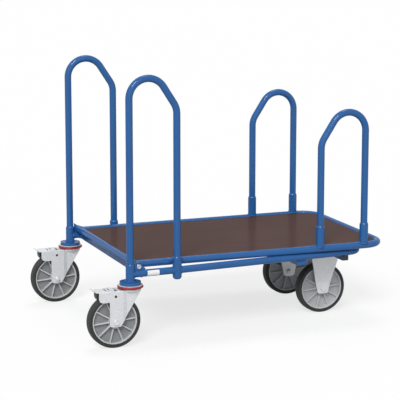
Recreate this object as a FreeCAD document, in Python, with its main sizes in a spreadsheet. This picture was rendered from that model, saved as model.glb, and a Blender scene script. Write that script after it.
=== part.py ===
import FreeCAD, Part
import math
import os
import re

import Sketcher
from FreeCAD import Placement, Rotation, Vector

# Driving dimensions, in millimetres and degrees.
# A "reach" is a distance forward of the rear castor posts, which stand near the rear end.
SIZES = {
    # Round tube, the sleeves that take it, and the gaps between pieces
    "tube_diameter": 26.9,
    "tube_wall": 2.0,
    "sleeve_wall": 3.1,
    "socket_clearance": 0.3,
    "weld_gap": 0.1,
    "saddle_gap": 0.3,
    "fit_gap": 0.05,
    "rest_gap": 0.3,
    # Wheels
    "wheel_diameter": 200,
    "tyre_width": 40,
    "tyre_thickness": 14,
    "tyre_shoulder": 7,
    "rim_band": 8,
    "rim_band_inset": 2,
    "rim_web": 8,
    "rim_rib_count": 10,
    "rim_rib_thickness": 6,
    "rim_rib_inset": 4,
    "hub_diameter": 46,
    "hub_gap": 1,
    "bearing_diameter": 30,
    "spacer_diameter": 20,
    # Axle bolts
    "axle_diameter": 12,
    "axle_flats": 18,
    "axle_head": 7.5,
    "axle_nut": 10,
    # Forks
    "fork_side_gap": 8,
    "fork_wall": 3,
    "fork_tip_radius": 8,
    "crown_gap": 12,
    "crown_thickness": 5,
    # Swivel castors
    "castor_offset": 66,
    "fork_rear": 23,
    "fork_front": 19,
    "fork_tip_drop": 17,
    "fork_nose": 32,
    "fork_nose_depth": 6,
    "fork_fold_rear": 37,
    "fork_fold_front": 22,
    "fork_fold_step": 5,
    "fork_bend": 2.5,
    "lobe_reach": 64,
    "lobe_depth": 41,
    "lobe_rounding": 16,
    "crown_setback": 10,
    "crown_margin": 3,
    "dome_diameter": 72,
    "dome_height": 7,
    "race_gap": 0.3,
    "head_diameter": 68,
    "head_height": 10.7,
    "dust_ring_diameter": 97,
    "dust_ring_height": 8.5,
    "dust_ring_lift": 3,
    "dust_ring_rounding": 4,
    "kingpin_diameter": 12,
    "kingpin_flats": 18,
    "kingpin_head": 7.5,
    "kingpin_nut": 10,
    "bolt_end": 3,
    # Brakes
    "brake_pivot_drop": 20,
    "brake_rivet_diameter": 9,
    "pedal_tip_back": 83,
    "pedal_ring_gap": 21.5,
    "pedal_side_gap": 2,
    "pedal_plate": 2.5,
    "pedal_lift": 1.3,
    "pedal_slope": 5,
    "pedal_tread_rise": 7.5,
    "pedal_tread_length": 14,
    "pedal_slot_length": 34,
    "pedal_slot_width": 5,
    "pedal_slot_start": 47.5,
    "pedal_slot_pitch": 13,
    "cheek_thickness": 2.5,
    "cheek_rear_back": 56,
    "cheek_rear_depth": 16,
    "cheek_boss": 9,
    "shoe_inset": 2,
    "shoe_front_back": 48,
    "shoe_length": 21,
    "shoe_front_depth": 18.3,
    "shoe_rear_depth": 27.3,
    # Castor posts and their flanges
    "post_height": 58,
    "flange_diameter": 79,
    "flange_thickness": 8,
    "leg_rise": 20,
    # Lower frame
    "socket_side_gap": 4.65,
    "bow_toe_in": 6,
    "rear_socket_drop": 34.5,
    "rear_socket_rise": 46.5,
    "rear_socket_floor": 9,
    "rear_socket_rounding": 11,
    "rail_taper": 4.5,
    "rail_front_setback": 89,
    "rail_bend_radius": 55,
    "cross_tube_reach": 46,
    # Beams and plates that carry the fixed castors
    "front_beam_width": 25,
    "rear_beam_width": 40,
    "beam_depth": 20,
    "beam_wall": 2,
    "beam_rear_setback": 155,
    "beam_end_inset": 2,
    "cap_flange": 3,
    "cap_plug": 12,
    "cap_clearance": 0.2,
    "mount_plate_thickness": 6,
    # Fixed castors
    "fixed_castor_setback": 104,
    "fixed_castor_spacing": 328,
    "castor_plate_length": 135,
    "castor_plate_width": 110,
    "castor_plate_thickness": 4,
    "bolt_inset_length": 30,
    "bolt_inset_width": 14,
    "leg_tip_drop": 20,
    "leg_tip_half": 21,
    "leg_tip_panel": 14,
    "leg_flat_rise": 25,
    "leg_flat_half": 32,
    "leg_flat_panel": 21,
    "leg_top_half": 58,
    "leg_top_panel": 38,
    "leg_wing_step": 4,
    "castor_bolt_diameter": 10,
    "castor_bolt_flats": 17,
    "castor_bolt_head": 6.4,
    "castor_bolt_nut": 8,
    # Deck hinge
    "hinge_post_gap": 1.7,
    "hinge_plate_thickness": 5,
    "hinge_plate_front": 26,
    "hinge_plate_rise": 36,
    "hinge_plate_lip": 6,
    "hinge_side_gap": 0.8,
    "hinge_bolt_diameter": 10,
    "hinge_bolt_flats": 17,
    "hinge_bolt_head": 6.4,
    "bush_length": 25,
    # Deck
    "platform_width": 700,
    "platform_front_reach": 1060,
    "platform_bend_radius": 80,
    "board_thickness": 12,
    "board_rise": 6.5,
    "board_side_gap": 4,
    "board_end_gap": 1.5,
    "bar_width": 40,
    "bar_thickness": 5,
    "bar_rear_reach": 200,
    "bar_front_setback": 180,
    "screw_spacing": 250,
    "screw_diameter": 5,
    "screw_head_diameter": 10,
    "screw_head": 2.4,
    "screw_depth": 8,
    # Bows
    "bow_leg_spacing": 186,
    "bow_bend_radius": 73,
    "bow_slant": 33,
    "rear_bow_top": 1000,
    "front_bow_top": 832,
    "front_bow_setback": 89,
    "front_socket_height": 70,
    "saddle_drop": 5,
}
BAR_COUNT = 3
PEDAL_SLOTS = 2
SIDES = (("left", 1), ("right", -1))

# Heights and distances that follow from the driving dimensions
TUBE_BORE = "(tube_diameter - 2 * tube_wall)"
SLEEVE_BORE = "(tube_diameter + 2 * socket_clearance)"
SLEEVE = f"({SLEEVE_BORE} + 2 * sleeve_wall)"
TUBE_SADDLE = "(tube_diameter + 2 * saddle_gap)"
SLEEVE_SADDLE = f"({SLEEVE} + 2 * saddle_gap)"
WHEEL_RADIUS = "(wheel_diameter / 2)"
FORK_GAP = "(tyre_width + 2 * fork_side_gap)"
FORK_WIDTH = f"({FORK_GAP} + 2 * fork_wall)"
HUB_WIDTH = f"({FORK_GAP} - 2 * hub_gap)"
RIM_WIDTH = "(tyre_width - 2 * rim_band_inset)"
CROWN_UNDER = "(wheel_diameter + crown_gap)"
CROWN_TOP = f"({CROWN_UNDER} + crown_thickness)"
DOME_TOP = f"({CROWN_TOP} + dome_height)"
HEAD_BOTTOM = f"({DOME_TOP} + race_gap)"
CASTOR_TOP = f"({HEAD_BOTTOM} + head_height)"
FLANGE_TOP = f"({CASTOR_TOP} + flange_thickness)"
RAIL_Z = f"({CASTOR_TOP} + beam_depth + weld_gap + tube_diameter / 2)"
DECK_Z = f"({RAIL_Z} + tube_diameter + rest_gap)"
BOARD_BOTTOM = f"({DECK_Z} + board_rise - board_thickness)"
BAR_BOTTOM = f"({BOARD_BOTTOM} - bar_thickness)"
TUBE_CROWN = f"({DECK_Z} + tube_diameter / 2)"
REAR_SOCKET_BOTTOM = f"({RAIL_Z} - rear_socket_drop)"
REAR_SOCKET_LENGTH = "(rear_socket_drop + rear_socket_rise)"
PLATFORM_HALF = "((platform_width - tube_diameter) / 2)"
SOCKET_HALF = f"((platform_width + {SLEEVE}) / 2 + socket_side_gap)"
POST_HALF = f"({SOCKET_HALF} + bow_toe_in)"
SOCKET_REACH = "sqrt(bow_leg_spacing ^ 2 - bow_toe_in ^ 2)"
HINGE_REACH = f"({SLEEVE} / 2 + hinge_post_gap + tube_diameter / 2)"
HINGE_TUBE_HALF = f"({POST_HALF} - hinge_plate_thickness / 2 - hinge_side_gap)"
RAIL_FRONT = "(platform_front_reach - rail_front_setback)"
FRONT_BOW = "(platform_front_reach - front_bow_setback)"
FIXED_CASTOR = f"({RAIL_FRONT} - fixed_castor_setback)"
BOLT_HALF_LENGTH = "(castor_plate_length / 2 - bolt_inset_length)"
BOLT_HALF_WIDTH = "(castor_plate_width / 2 - bolt_inset_width)"
BEAM_FRONT = f"({FIXED_CASTOR} + {BOLT_HALF_LENGTH})"
BEAM_REAR = f"({FIXED_CASTOR} - beam_rear_setback)"
# The posts stand behind the middle of the cart, which runs from the rear wheels to the deck's front tube
POST_X = f"((castor_offset + {WHEEL_RADIUS} - platform_front_reach - tube_diameter / 2) / 2)"

ALONG_X = Rotation(Vector(0, 1, 0), 90)
ALONG_Y = Rotation(Vector(1, 0, 0), -90)
AGAINST_Y = Rotation(Vector(1, 0, 0), 90)
UPRIGHT = Rotation()
HALF_TURN = Rotation(Vector(0, 0, 1), 180)

doc = FreeCAD.newDocument("PlatformCart")
sheet = doc.addObject("Spreadsheet::Sheet", "Sizes")
for row, (alias, amount) in enumerate(SIZES.items(), start=1):
    sheet.set(f"A{row}", alias)
    sheet.set(f"B{row}", str(amount))
    sheet.setAlias(f"B{row}", alias)
doc.recompute()
nodes = []


def text(expression):
    """The expression with every size written as a cell of the sheet."""
    return re.sub(r"[a-z_]+", lambda word: f"Sizes.{word[0]}" if word[0] in SIZES else word[0], expression)


def value(expression):
    return float(sheet.evalExpression(text(expression)))


def bind(item, setting, expression):
    item.setExpression(setting, text(expression))


def place(item, x, y, z, turn=UPRIGHT):
    """Put an object at a point that follows the sizes."""
    item.Placement = Placement(Vector(value(x), value(y), value(z)), turn)
    for axis, amount in zip("xyz", (x, y, z)):
        bind(item, f"Placement.Base.{axis}", amount)
    return item


def at_reach(reach):
    return f"({POST_X} + {reach})"


def side_y(half, sign):
    return f"({sign} * {half})"


def rail_half(reach):
    """Distance of the tapering rail's centre from the middle plane at a reach."""
    return f"({SOCKET_HALF} - tan(rail_taper) * ({reach} - {SOCKET_REACH}))"


def node(label, item):
    item.Label = label
    nodes.append(item)
    return item


# Sketches and features


def new_body(name):
    return doc.addObject("PartDesign::Body", f"{name}_body")


def origin_feature(body, role):
    return next(item for item in body.Origin.OriginFeatures if item.Role == role)


def new_sketch(body, role, offset="0"):
    sketch = body.newObject("Sketcher::SketchObject", f"{body.Name}_sketch")
    sketch.AttachmentSupport = (origin_feature(body, role), "")
    sketch.MapMode = "FlatFace"
    bind(sketch, "AttachmentOffset.Base.z", offset)
    return sketch


def anchor(sketch, geometry, end, x, y):
    """Hold one point of a sketch at two distances from its origin."""
    for kind, axis, amount in (("DistanceX", -2, x), ("DistanceY", -1, y)):
        if abs(value(amount)) < 1e-9:
            sketch.addConstraint(Sketcher.Constraint("PointOnObject", geometry, end, axis))
            continue
        held = sketch.addConstraint(Sketcher.Constraint(kind, -1, 1, geometry, end, value(amount)))
        bind(sketch, f"Constraints[{held}]", amount)


def outline(sketch, points):
    """A closed outline of straight lines."""
    corners = [Vector(value(x), value(y), 0) for x, y in points]
    count = len(corners)
    first = sketch.GeometryCount
    for index in range(count):
        sketch.addGeometry(Part.LineSegment(corners[index], corners[(index + 1) % count]))
    for index in range(count):
        following = first + (index + 1) % count
        sketch.addConstraint(Sketcher.Constraint("Coincident", first + index, 2, following, 1))
    for index, (x, y) in enumerate(points):
        anchor(sketch, first + index, 1, x, y)


def rectangle(sketch, left, right, low, high):
    outline(sketch, [(left, low), (right, low), (right, high), (left, high)])


def circle(sketch, x, y, diameter):
    centre = Vector(value(x), value(y), 0)
    drawn = sketch.addGeometry(Part.Circle(centre, Vector(0, 0, 1), value(diameter) / 2))
    anchor(sketch, drawn, 3, x, y)
    held = sketch.addConstraint(Sketcher.Constraint("Diameter", drawn, value(diameter)))
    bind(sketch, f"Constraints[{held}]", diameter)


def bent_path(sketch, corners, radius):
    """Straight runs between corners, with a tangent arc of one radius at each inner corner."""
    points = [Vector(value(x), value(y), 0) for x, y in corners]
    bend = value(radius)
    start = points[0]
    bend_before = None
    for index in range(1, len(points)):
        corner = points[index]
        finish = corner
        last = index == len(points) - 1
        if not last:
            back = (points[index - 1] - corner).normalize()
            ahead = (points[index + 1] - corner).normalize()
            half_angle = back.getAngle(ahead) / 2
            inward = (back + ahead).normalize()
            centre = corner + inward * (bend / math.sin(half_angle))
            finish = corner + back * (bend / math.tan(half_angle))
            leave = corner + ahead * (bend / math.tan(half_angle))
        line = sketch.addGeometry(Part.LineSegment(start, finish))
        if bend_before is None:
            anchor(sketch, line, 1, *corners[0])
        else:
            arc, out_of, mark = bend_before
            sketch.addConstraint(Sketcher.Constraint("Tangent", arc, out_of, line, 1))
            sketch.addConstraint(Sketcher.Constraint("PointOnObject", mark, 1, line))
        if last:
            anchor(sketch, line, 2, *corners[index])
            break
        arc = sketch.addGeometry(Part.Arc(finish, centre - inward * bend, leave))
        starts_here = sketch.getPoint(arc, 1).distanceToPoint(finish) < bend / 1000
        into, out_of = (1, 2) if starts_here else (2, 1)
        sketch.addConstraint(Sketcher.Constraint("Tangent", line, 2, arc, into))
        held = sketch.addConstraint(Sketcher.Constraint("Radius", arc, bend))
        bind(sketch, f"Constraints[{held}]", radius)
        mark = sketch.addGeometry(Part.Point(corner), True)
        anchor(sketch, mark, 1, *corners[index])
        sketch.addConstraint(Sketcher.Constraint("PointOnObject", mark, 1, line))
        bend_before = (arc, out_of, mark)
        start = leave


def pad(body, sketch, length, symmetric=False, downward=False):
    feature = body.newObject("PartDesign::Pad", f"{body.Name}_pad")
    feature.Profile = sketch
    feature.SideType = "Symmetric" if symmetric else "One side"
    feature.Reversed = downward
    bind(feature, "Length", length)
    doc.recompute()
    return feature


def pocket(body, sketch, length, symmetric=False, upward=False):
    """Cut a sketch into the body, and make sure that it did cut."""
    before = body.Shape.Volume
    feature = body.newObject("PartDesign::Pocket", f"{body.Name}_pocket")
    feature.Profile = sketch
    feature.SideType = "Symmetric" if symmetric else "One side"
    feature.Reversed = upward
    bind(feature, "Length", length)
    doc.recompute()
    if body.Shape.Volume >= before:
        raise RuntimeError(f"{feature.Name} cuts nothing")
    return feature


def revolve(body, sketch):
    feature = body.newObject("PartDesign::Revolution", f"{body.Name}_turned")
    feature.Profile = sketch
    feature.ReferenceAxis = (sketch, ["V_Axis"])
    feature.Angle = 360
    doc.recompute()
    return feature


def round_edges(body, radius, chosen):
    """Fillet the edges of the body whose middle point passes a test."""
    doc.recompute()
    base = body.Tip
    names = []
    for index, edge in enumerate(base.Shape.Edges, start=1):
        if chosen(edge, edge.CenterOfMass):
            names.append(f"Edge{index}")
    feature = body.newObject("PartDesign::Fillet", f"{body.Name}_rounding")
    feature.Base = (base, names)
    bind(feature, "Radius", radius)
    doc.recompute()
    if "Invalid" in feature.State:
        raise RuntimeError(f"{feature.Name} rounds nothing")


def near(first, second):
    return abs(first - second) < 0.01


def runs_along(edge, direction):
    """True for a straight edge that is parallel to a direction."""
    if not isinstance(edge.Curve, Part.Line):
        return False
    return abs(edge.Curve.Direction.dot(direction)) > 0.999


def has_radius(edge, radius):
    return isinstance(edge.Curve, Part.Circle) and near(edge.Curve.Radius, radius)


# Shapes that several pieces share


def tube(name, outer, inner, length):
    """A straight tube or ring that stands on its own origin along Z."""
    body = new_body(name)
    sketch = new_sketch(body, "XY_Plane")
    circle(sketch, "0", "0", outer)
    circle(sketch, "0", "0", inner)
    pad(body, sketch, length)
    return body


def rod(name, diameter, length):
    item = doc.addObject("Part::Cylinder", f"{name}_rod")
    bind(item, "Radius", f"{diameter} / 2")
    bind(item, "Height", length)
    return item


def cut(name, base, tools):
    for tool in tools:
        step = doc.addObject("Part::Cut", f"{name}_cut")
        step.Base = base
        step.Tool = tool
        base = step
    return base


def group(label, items):
    together = doc.addObject("Part::Compound", f"{label}_group")
    together.Links = items
    return node(label, together)


def hexagon(name, flats, height):
    item = doc.addObject("Part::Prism", f"{name}_hexagon")
    item.Polygon = 6
    bind(item, "Circumradius", f"{flats} / sqrt(3)")
    bind(item, "Height", height)
    return item


def hex_bolt(name, kind, length):
    """A hexagon bolt: the shank stands on the origin and the head lies below it."""
    head = hexagon(name, f"{kind}_flats", f"{kind}_head")
    place(head, "0", "0", f"-{kind}_head")
    bolt = doc.addObject("Part::Fuse", f"{name}_bolt")
    bolt.Base = head
    bolt.Tool = rod(name, f"{kind}_diameter", length)
    return bolt


def hex_nut(name, kind):
    """A hexagon nut that stands on the origin."""
    block = hexagon(name, f"{kind}_flats", f"{kind}_nut")
    hole = rod(name, f"({kind}_diameter + 2 * fit_gap)", f"{kind}_nut")
    return cut(name, block, [hole])


def bent_frame(name, front, corner_half, rear, rear_half, radius, outer="tube_diameter", inner=None):
    """A flat bent tube or rod, drawn from the middle of its front run round one corner and mirrored."""
    body = new_body(name)
    path = new_sketch(body, "XY_Plane")
    bent_path(path, [(front, "0"), (front, f"-{corner_half}"), (rear, f"-{rear_half}")], radius)
    section = new_sketch(body, "XZ_Plane")
    circle(section, front, "0", outer)
    if inner is not None:
        circle(section, front, "0", inner)
    doc.recompute()
    pipe = body.newObject("PartDesign::AdditivePipe", f"{name}_pipe")
    pipe.Profile = section
    pipe.Spine = (path, [])
    doc.recompute()
    mirrored = body.newObject("PartDesign::Mirrored", f"{name}_mirrored")
    mirrored.Originals = [pipe]
    mirrored.MirrorPlane = (origin_feature(body, "XZ_Plane"), [""])
    body.Tip = mirrored
    doc.recompute()
    return body


def bow(label, outer_end, inner_end, top):
    """A hoop bow: upright outer leg, wide bend over the top, slanting run, upright inner leg."""
    body = new_body(label)
    bend_z = f"({top} - tube_diameter / 2 - bow_bend_radius)"
    peak = f"({bend_z} + bow_bend_radius / tan(bow_slant / 2))"
    elbow = f"({peak} - bow_leg_spacing / tan(bow_slant))"
    path = new_sketch(body, "XZ_Plane")
    corners = [("0", outer_end), ("0", peak), ("bow_leg_spacing", elbow), ("bow_leg_spacing", inner_end)]
    bent_path(path, corners, "bow_bend_radius")
    section = new_sketch(body, "XY_Plane", outer_end)
    circle(section, "0", "0", "tube_diameter")
    circle(section, "0", "0", TUBE_BORE)
    doc.recompute()
    pipe = body.newObject("PartDesign::AdditivePipe", f"{label}_pipe")
    pipe.Profile = section
    pipe.Spine = (path, [])
    doc.recompute()
    return node(label, body)


# Lower frame


def toe_in(sign):
    """Turn about Z of the rear bows and rail stubs, which lean towards the middle plane."""
    angle = math.degrees(math.asin(value("bow_toe_in / bow_leg_spacing")))
    return Rotation(Vector(0, 0, 1), -sign * angle)


def stub_line(name, sign, outer, inner=None):
    """A tube or rod from a castor post to the inner bow socket."""
    if inner is None:
        item = rod(name, outer, "bow_leg_spacing")
    else:
        item = tube(name, outer, inner, "bow_leg_spacing")
    return place(item, POST_X, side_y(POST_HALF, sign), RAIL_Z, toe_in(sign).multiply(ALONG_X))


def sleeve_cutter(name, reach, half, sign):
    """A rod as wide as a sleeve, for the saddle cut of a tube that meets it."""
    item = rod(name, SLEEVE_SADDLE, REAR_SOCKET_LENGTH)
    return place(item, at_reach(reach), side_y(half, sign), REAR_SOCKET_BOTTOM)


def lower_frame():
    front_half = rail_half(RAIL_FRONT)
    rail = bent_frame("lower_rail", RAIL_FRONT, front_half, SOCKET_REACH, SOCKET_HALF, "rail_bend_radius",
                      inner=TUBE_BORE)
    place(rail, POST_X, "0", RAIL_Z)
    cutters = [sleeve_cutter("lower_rail", SOCKET_REACH, SOCKET_HALF, sign) for _, sign in SIDES]
    node("lower_rail", cut("lower_rail", rail, cutters))
    for side, sign in SIDES:
        name = f"rail_stub_{side}"
        stub = stub_line(name, sign, "tube_diameter", TUBE_BORE)
        post_end = sleeve_cutter(name, "0", POST_HALF, sign)
        socket_end = sleeve_cutter(name, SOCKET_REACH, SOCKET_HALF, sign)
        node(name, cut(name, stub, [post_end, socket_end]))
    cross = tube("rear_cross_tube", "tube_diameter", TUBE_BORE, f"2 * {POST_HALF}")
    place(cross, at_reach("cross_tube_reach"), f"-{POST_HALF}", RAIL_Z, ALONG_Y)
    saddles = [stub_line("cross_saddle", sign, TUBE_SADDLE) for _, sign in SIDES]
    trimmed = cut("rear_cross_tube", cross, saddles)
    outside = [cross_end(sign) for _, sign in SIDES]
    node("rear_cross_tube", cut("rear_cross_tube", trimmed, outside))


def cross_end(sign):
    """A block outside a rail's centre line, which takes off the end of the cross tube beyond the saddle."""
    block = doc.addObject("Part::Box", "cross_end_block")
    for setting in ("Length", "Height"):
        bind(block, setting, "2 * tube_diameter")
    bind(block, "Width", "tube_diameter")
    inner = POST_HALF if sign > 0 else f"(-{POST_HALF} - tube_diameter)"
    reach = "(cross_tube_reach - tube_diameter)"
    end_y = f"({inner} - {sign} * bow_toe_in)"
    return place(block, at_reach(reach), end_y, f"({RAIL_Z} - tube_diameter)")


def posts_and_sockets():
    for side, sign in SIDES:
        post_y = side_y(POST_HALF, sign)
        pin_hole = "(kingpin_diameter + 2 * fit_gap)"
        flange = tube(f"post_flange_{side}", "flange_diameter", pin_hole, "flange_thickness")
        node(f"post_flange_{side}", place(flange, POST_X, post_y, CASTOR_TOP))
        post = tube(f"castor_post_{side}", SLEEVE, SLEEVE_BORE, "post_height")
        node(f"castor_post_{side}", place(post, POST_X, post_y, FLANGE_TOP))
        socket = rear_socket(f"rear_bow_socket_{side}")
        socket_y = side_y(SOCKET_HALF, sign)
        node(f"rear_bow_socket_{side}", place(socket, at_reach(SOCKET_REACH), socket_y, REAR_SOCKET_BOTTOM))


def rear_socket(name):
    """A sleeve with a closed, rounded bottom."""
    body = new_body(name)
    base = new_sketch(body, "XY_Plane")
    circle(base, "0", "0", SLEEVE)
    pad(body, base, REAR_SOCKET_LENGTH)
    mouth = new_sketch(body, "XY_Plane", REAR_SOCKET_LENGTH)
    circle(mouth, "0", "0", SLEEVE_BORE)
    pocket(body, mouth, f"{REAR_SOCKET_LENGTH} - rear_socket_floor")
    round_edges(body, "rear_socket_rounding", lambda edge, middle: near(edge.BoundBox.ZMax, 0))
    return body


def rear_bows():
    outer_end = f"({FLANGE_TOP} + leg_rise)"
    inner_end = f"({REAR_SOCKET_BOTTOM} + rear_socket_floor + rest_gap)"
    for side, sign in SIDES:
        item = bow(f"rear_bow_{side}", outer_end, inner_end, "rear_bow_top")
        place(item, POST_X, side_y(POST_HALF, sign), "0", toe_in(sign))


# Deck hinge


def hinge():
    base = "(tube_diameter / 2 + weld_gap)"
    rear = f"({SLEEVE} / 2 + saddle_gap)"
    front = f"({HINGE_REACH} + hinge_plate_front)"
    pin_hole = "(hinge_bolt_diameter + 2 * fit_gap)"
    bolt_length = "hinge_plate_thickness + hinge_side_gap + bush_length + bolt_end"
    bolts = []
    bushes = []
    for side, sign in SIDES:
        plate = new_body(f"hinge_plate_{side}")
        sketch = new_sketch(plate, "XZ_Plane")
        lip = f"({base} + hinge_plate_lip)"
        top = f"({base} + hinge_plate_rise)"
        outline(sketch, [(rear, base), (front, base), (front, lip), (rear, top)])
        circle(sketch, HINGE_REACH, f"({DECK_Z} - {RAIL_Z})", pin_hole)
        pad(plate, sketch, "hinge_plate_thickness", symmetric=True)
        node(f"hinge_plate_{side}", place(plate, POST_X, side_y(POST_HALF, sign), RAIL_Z))
        bolt = hex_bolt(f"hinge_bolt_{side}", "hinge_bolt", bolt_length)
        head_y = side_y(f"({POST_HALF} + hinge_plate_thickness / 2)", sign)
        inward = AGAINST_Y if sign > 0 else ALONG_Y
        bolts.append(place(bolt, at_reach(HINGE_REACH), head_y, DECK_Z, inward))
        bush = tube(f"hinge_bush_{side}", f"({TUBE_BORE} - 2 * fit_gap)", pin_hole, "bush_length")
        end_y = side_y(HINGE_TUBE_HALF, sign)
        bushes.append(place(bush, at_reach(HINGE_REACH), end_y, DECK_Z, inward))
    group("hinge_bolts", bolts)
    group("hinge_bushes", bushes)


# Deck


def bar_reach(index):
    last_bar = "(platform_front_reach - bar_front_setback)"
    return f"(bar_rear_reach + {index} * ({last_bar} - bar_rear_reach) / {BAR_COUNT - 1})"


def screw_places():
    bars = [bar_reach(index) for index in range(BAR_COUNT)]
    return [(reach, f"({step} * screw_spacing)") for reach in bars for step in (-1, 0, 1)]


def deck_bend(name, outer, inner=None):
    """The deck's bent tube, or a rod on the same line for the saddle cuts of what stands on it."""
    item = bent_frame(name, "platform_front_reach", PLATFORM_HALF, HINGE_REACH, PLATFORM_HALF,
                      "platform_bend_radius", outer, inner)
    return place(item, POST_X, "0", DECK_Z)


def deck_frame():
    frame = deck_bend("platform_frame", "tube_diameter", TUBE_BORE)
    saddle = rod("frame_saddle", TUBE_SADDLE, "platform_width")
    place(saddle, at_reach(HINGE_REACH), "-platform_width / 2", DECK_Z, ALONG_Y)
    node("platform_frame", cut("platform_frame", frame, [saddle]))
    hinge_tube = tube("platform_hinge_tube", "tube_diameter", TUBE_BORE, f"2 * {HINGE_TUBE_HALF}")
    place(hinge_tube, at_reach(HINGE_REACH), f"-{HINGE_TUBE_HALF}", DECK_Z, ALONG_Y)
    node("platform_hinge_tube", hinge_tube)


def deck_board():
    body = new_body("deck_board")
    sketch = new_sketch(body, "XY_Plane")
    half = f"({PLATFORM_HALF} - tube_diameter / 2 - board_side_gap)"
    front = "(platform_front_reach - tube_diameter / 2 - board_end_gap)"
    rear = f"({HINGE_REACH} + tube_diameter / 2 + board_end_gap)"
    rectangle(sketch, rear, front, f"-{half}", half)
    pad(body, sketch, "board_thickness")
    holes = new_sketch(body, "XY_Plane")
    for x, y in screw_places():
        circle(holes, x, y, "(screw_diameter + 2 * fit_gap)")
    pocket(body, holes, "screw_depth + fit_gap", upward=True)
    front_x = value(front)
    upright = Vector(0, 0, 1)
    round_edges(body, "(platform_bend_radius - tube_diameter / 2 - board_end_gap)",
                lambda edge, middle: runs_along(edge, upright) and near(middle.x, front_x))
    node("deck_board", place(body, POST_X, "0", BOARD_BOTTOM))


def deck_bars():
    drop = "(board_thickness - board_rise)"
    half = f"({PLATFORM_HALF} - sqrt((tube_diameter / 2) ^ 2 - {drop} ^ 2) - weld_gap)"
    bars = []
    for index in range(BAR_COUNT):
        body = new_body(f"cross_bar_{index}")
        sketch = new_sketch(body, "XY_Plane")
        rectangle(sketch, "-bar_width / 2", "bar_width / 2", f"-{half}", half)
        for step in (-1, 0, 1):
            circle(sketch, "0", f"({step} * screw_spacing)", "(screw_diameter + 2 * fit_gap)")
        pad(body, sketch, "bar_thickness")
        bars.append(place(body, at_reach(bar_reach(index)), "0", BAR_BOTTOM))
    group("platform_cross_bars", bars)
    screws = []
    for x, y in screw_places():
        head = rod("screw_head", "screw_head_diameter", "screw_head")
        place(head, "0", "0", "-screw_head")
        screw = doc.addObject("Part::Fuse", "deck_screw")
        screw.Base = head
        screw.Tool = rod("screw_shank", "screw_diameter", "bar_thickness + screw_depth")
        screws.append(place(screw, at_reach(x), y, BAR_BOTTOM))
    group("deck_screws", screws)


def front_bows():
    bottom = f"({TUBE_CROWN} - saddle_drop)"
    saddle = deck_bend("socket_saddle", TUBE_SADDLE)
    for side, sign in SIDES:
        bow_y = side_y(PLATFORM_HALF, sign)
        sockets = []
        for leg, reach in (("front", FRONT_BOW), ("rear", f"({FRONT_BOW} - bow_leg_spacing)")):
            name = f"front_socket_{side}_{leg}"
            sleeve = tube(name, SLEEVE, SLEEVE_BORE, "saddle_drop + front_socket_height")
            place(sleeve, at_reach(reach), bow_y, bottom)
            sockets.append(cut(name, sleeve, [saddle]))
        group(f"front_bow_sockets_{side}", sockets)
        leg_end = f"({TUBE_CROWN} + rest_gap)"
        item = bow(f"front_bow_{side}", leg_end, leg_end, "front_bow_top")
        place(item, at_reach(FRONT_BOW), bow_y, "0", HALF_TURN)


# Beams and plates for the fixed castors


def bolt_places(sign):
    """Bolt centres of one fixed castor, as reach and y, the front pair first."""
    castor_y = f"({sign} * fixed_castor_spacing / 2)"
    rows = []
    for row in (1, -1):
        reach = f"({FIXED_CASTOR} + {row} * {BOLT_HALF_LENGTH})"
        rows.append([(reach, f"({castor_y} + {step} * {BOLT_HALF_WIDTH})") for step in (-1, 1)])
    return rows


def castor_beam(label, reach, width, drilled):
    body = new_body(label)
    sketch = new_sketch(body, "XZ_Plane")
    rectangle(sketch, f"-{width} / 2", f"{width} / 2", "0", "beam_depth")
    inner_half = f"({width} / 2 - beam_wall)"
    rectangle(sketch, f"-{inner_half}", inner_half, "beam_wall", "(beam_depth - beam_wall)")
    half = f"({rail_half(reach)} - beam_end_inset)"
    pad(body, sketch, f"2 * {half}", symmetric=True)
    place(body, at_reach(reach), "0", CASTOR_TOP)
    drills = []
    for x, y in drilled:
        drill = rod(label, "(castor_bolt_diameter + 2 * fit_gap)", "beam_depth")
        drills.append(place(drill, at_reach(x), y, CASTOR_TOP))
    node(label, cut(label, body, drills))
    return [end_cap(f"{label}_cap_{side}", reach, width, half, sign) for side, sign in SIDES]


def end_cap(name, reach, width, half, sign):
    """A plug that fills one open end of a beam, with a flat flange over the end."""
    body = new_body(name)
    face = new_sketch(body, "XZ_Plane")
    rectangle(face, f"-{width} / 2", f"{width} / 2", "0", "beam_depth")
    pad(body, face, "cap_flange", downward=sign > 0)
    inside = new_sketch(body, "XZ_Plane")
    inner_half = f"({width} / 2 - beam_wall - cap_clearance)"
    low = "(beam_wall + cap_clearance)"
    rectangle(inside, f"-{inner_half}", inner_half, low, f"(beam_depth - {low})")
    pad(body, inside, "cap_plug", downward=sign < 0)
    end_y = side_y(f"({half} + fit_gap)", sign)
    return place(body, at_reach(reach), end_y, CASTOR_TOP)


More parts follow.
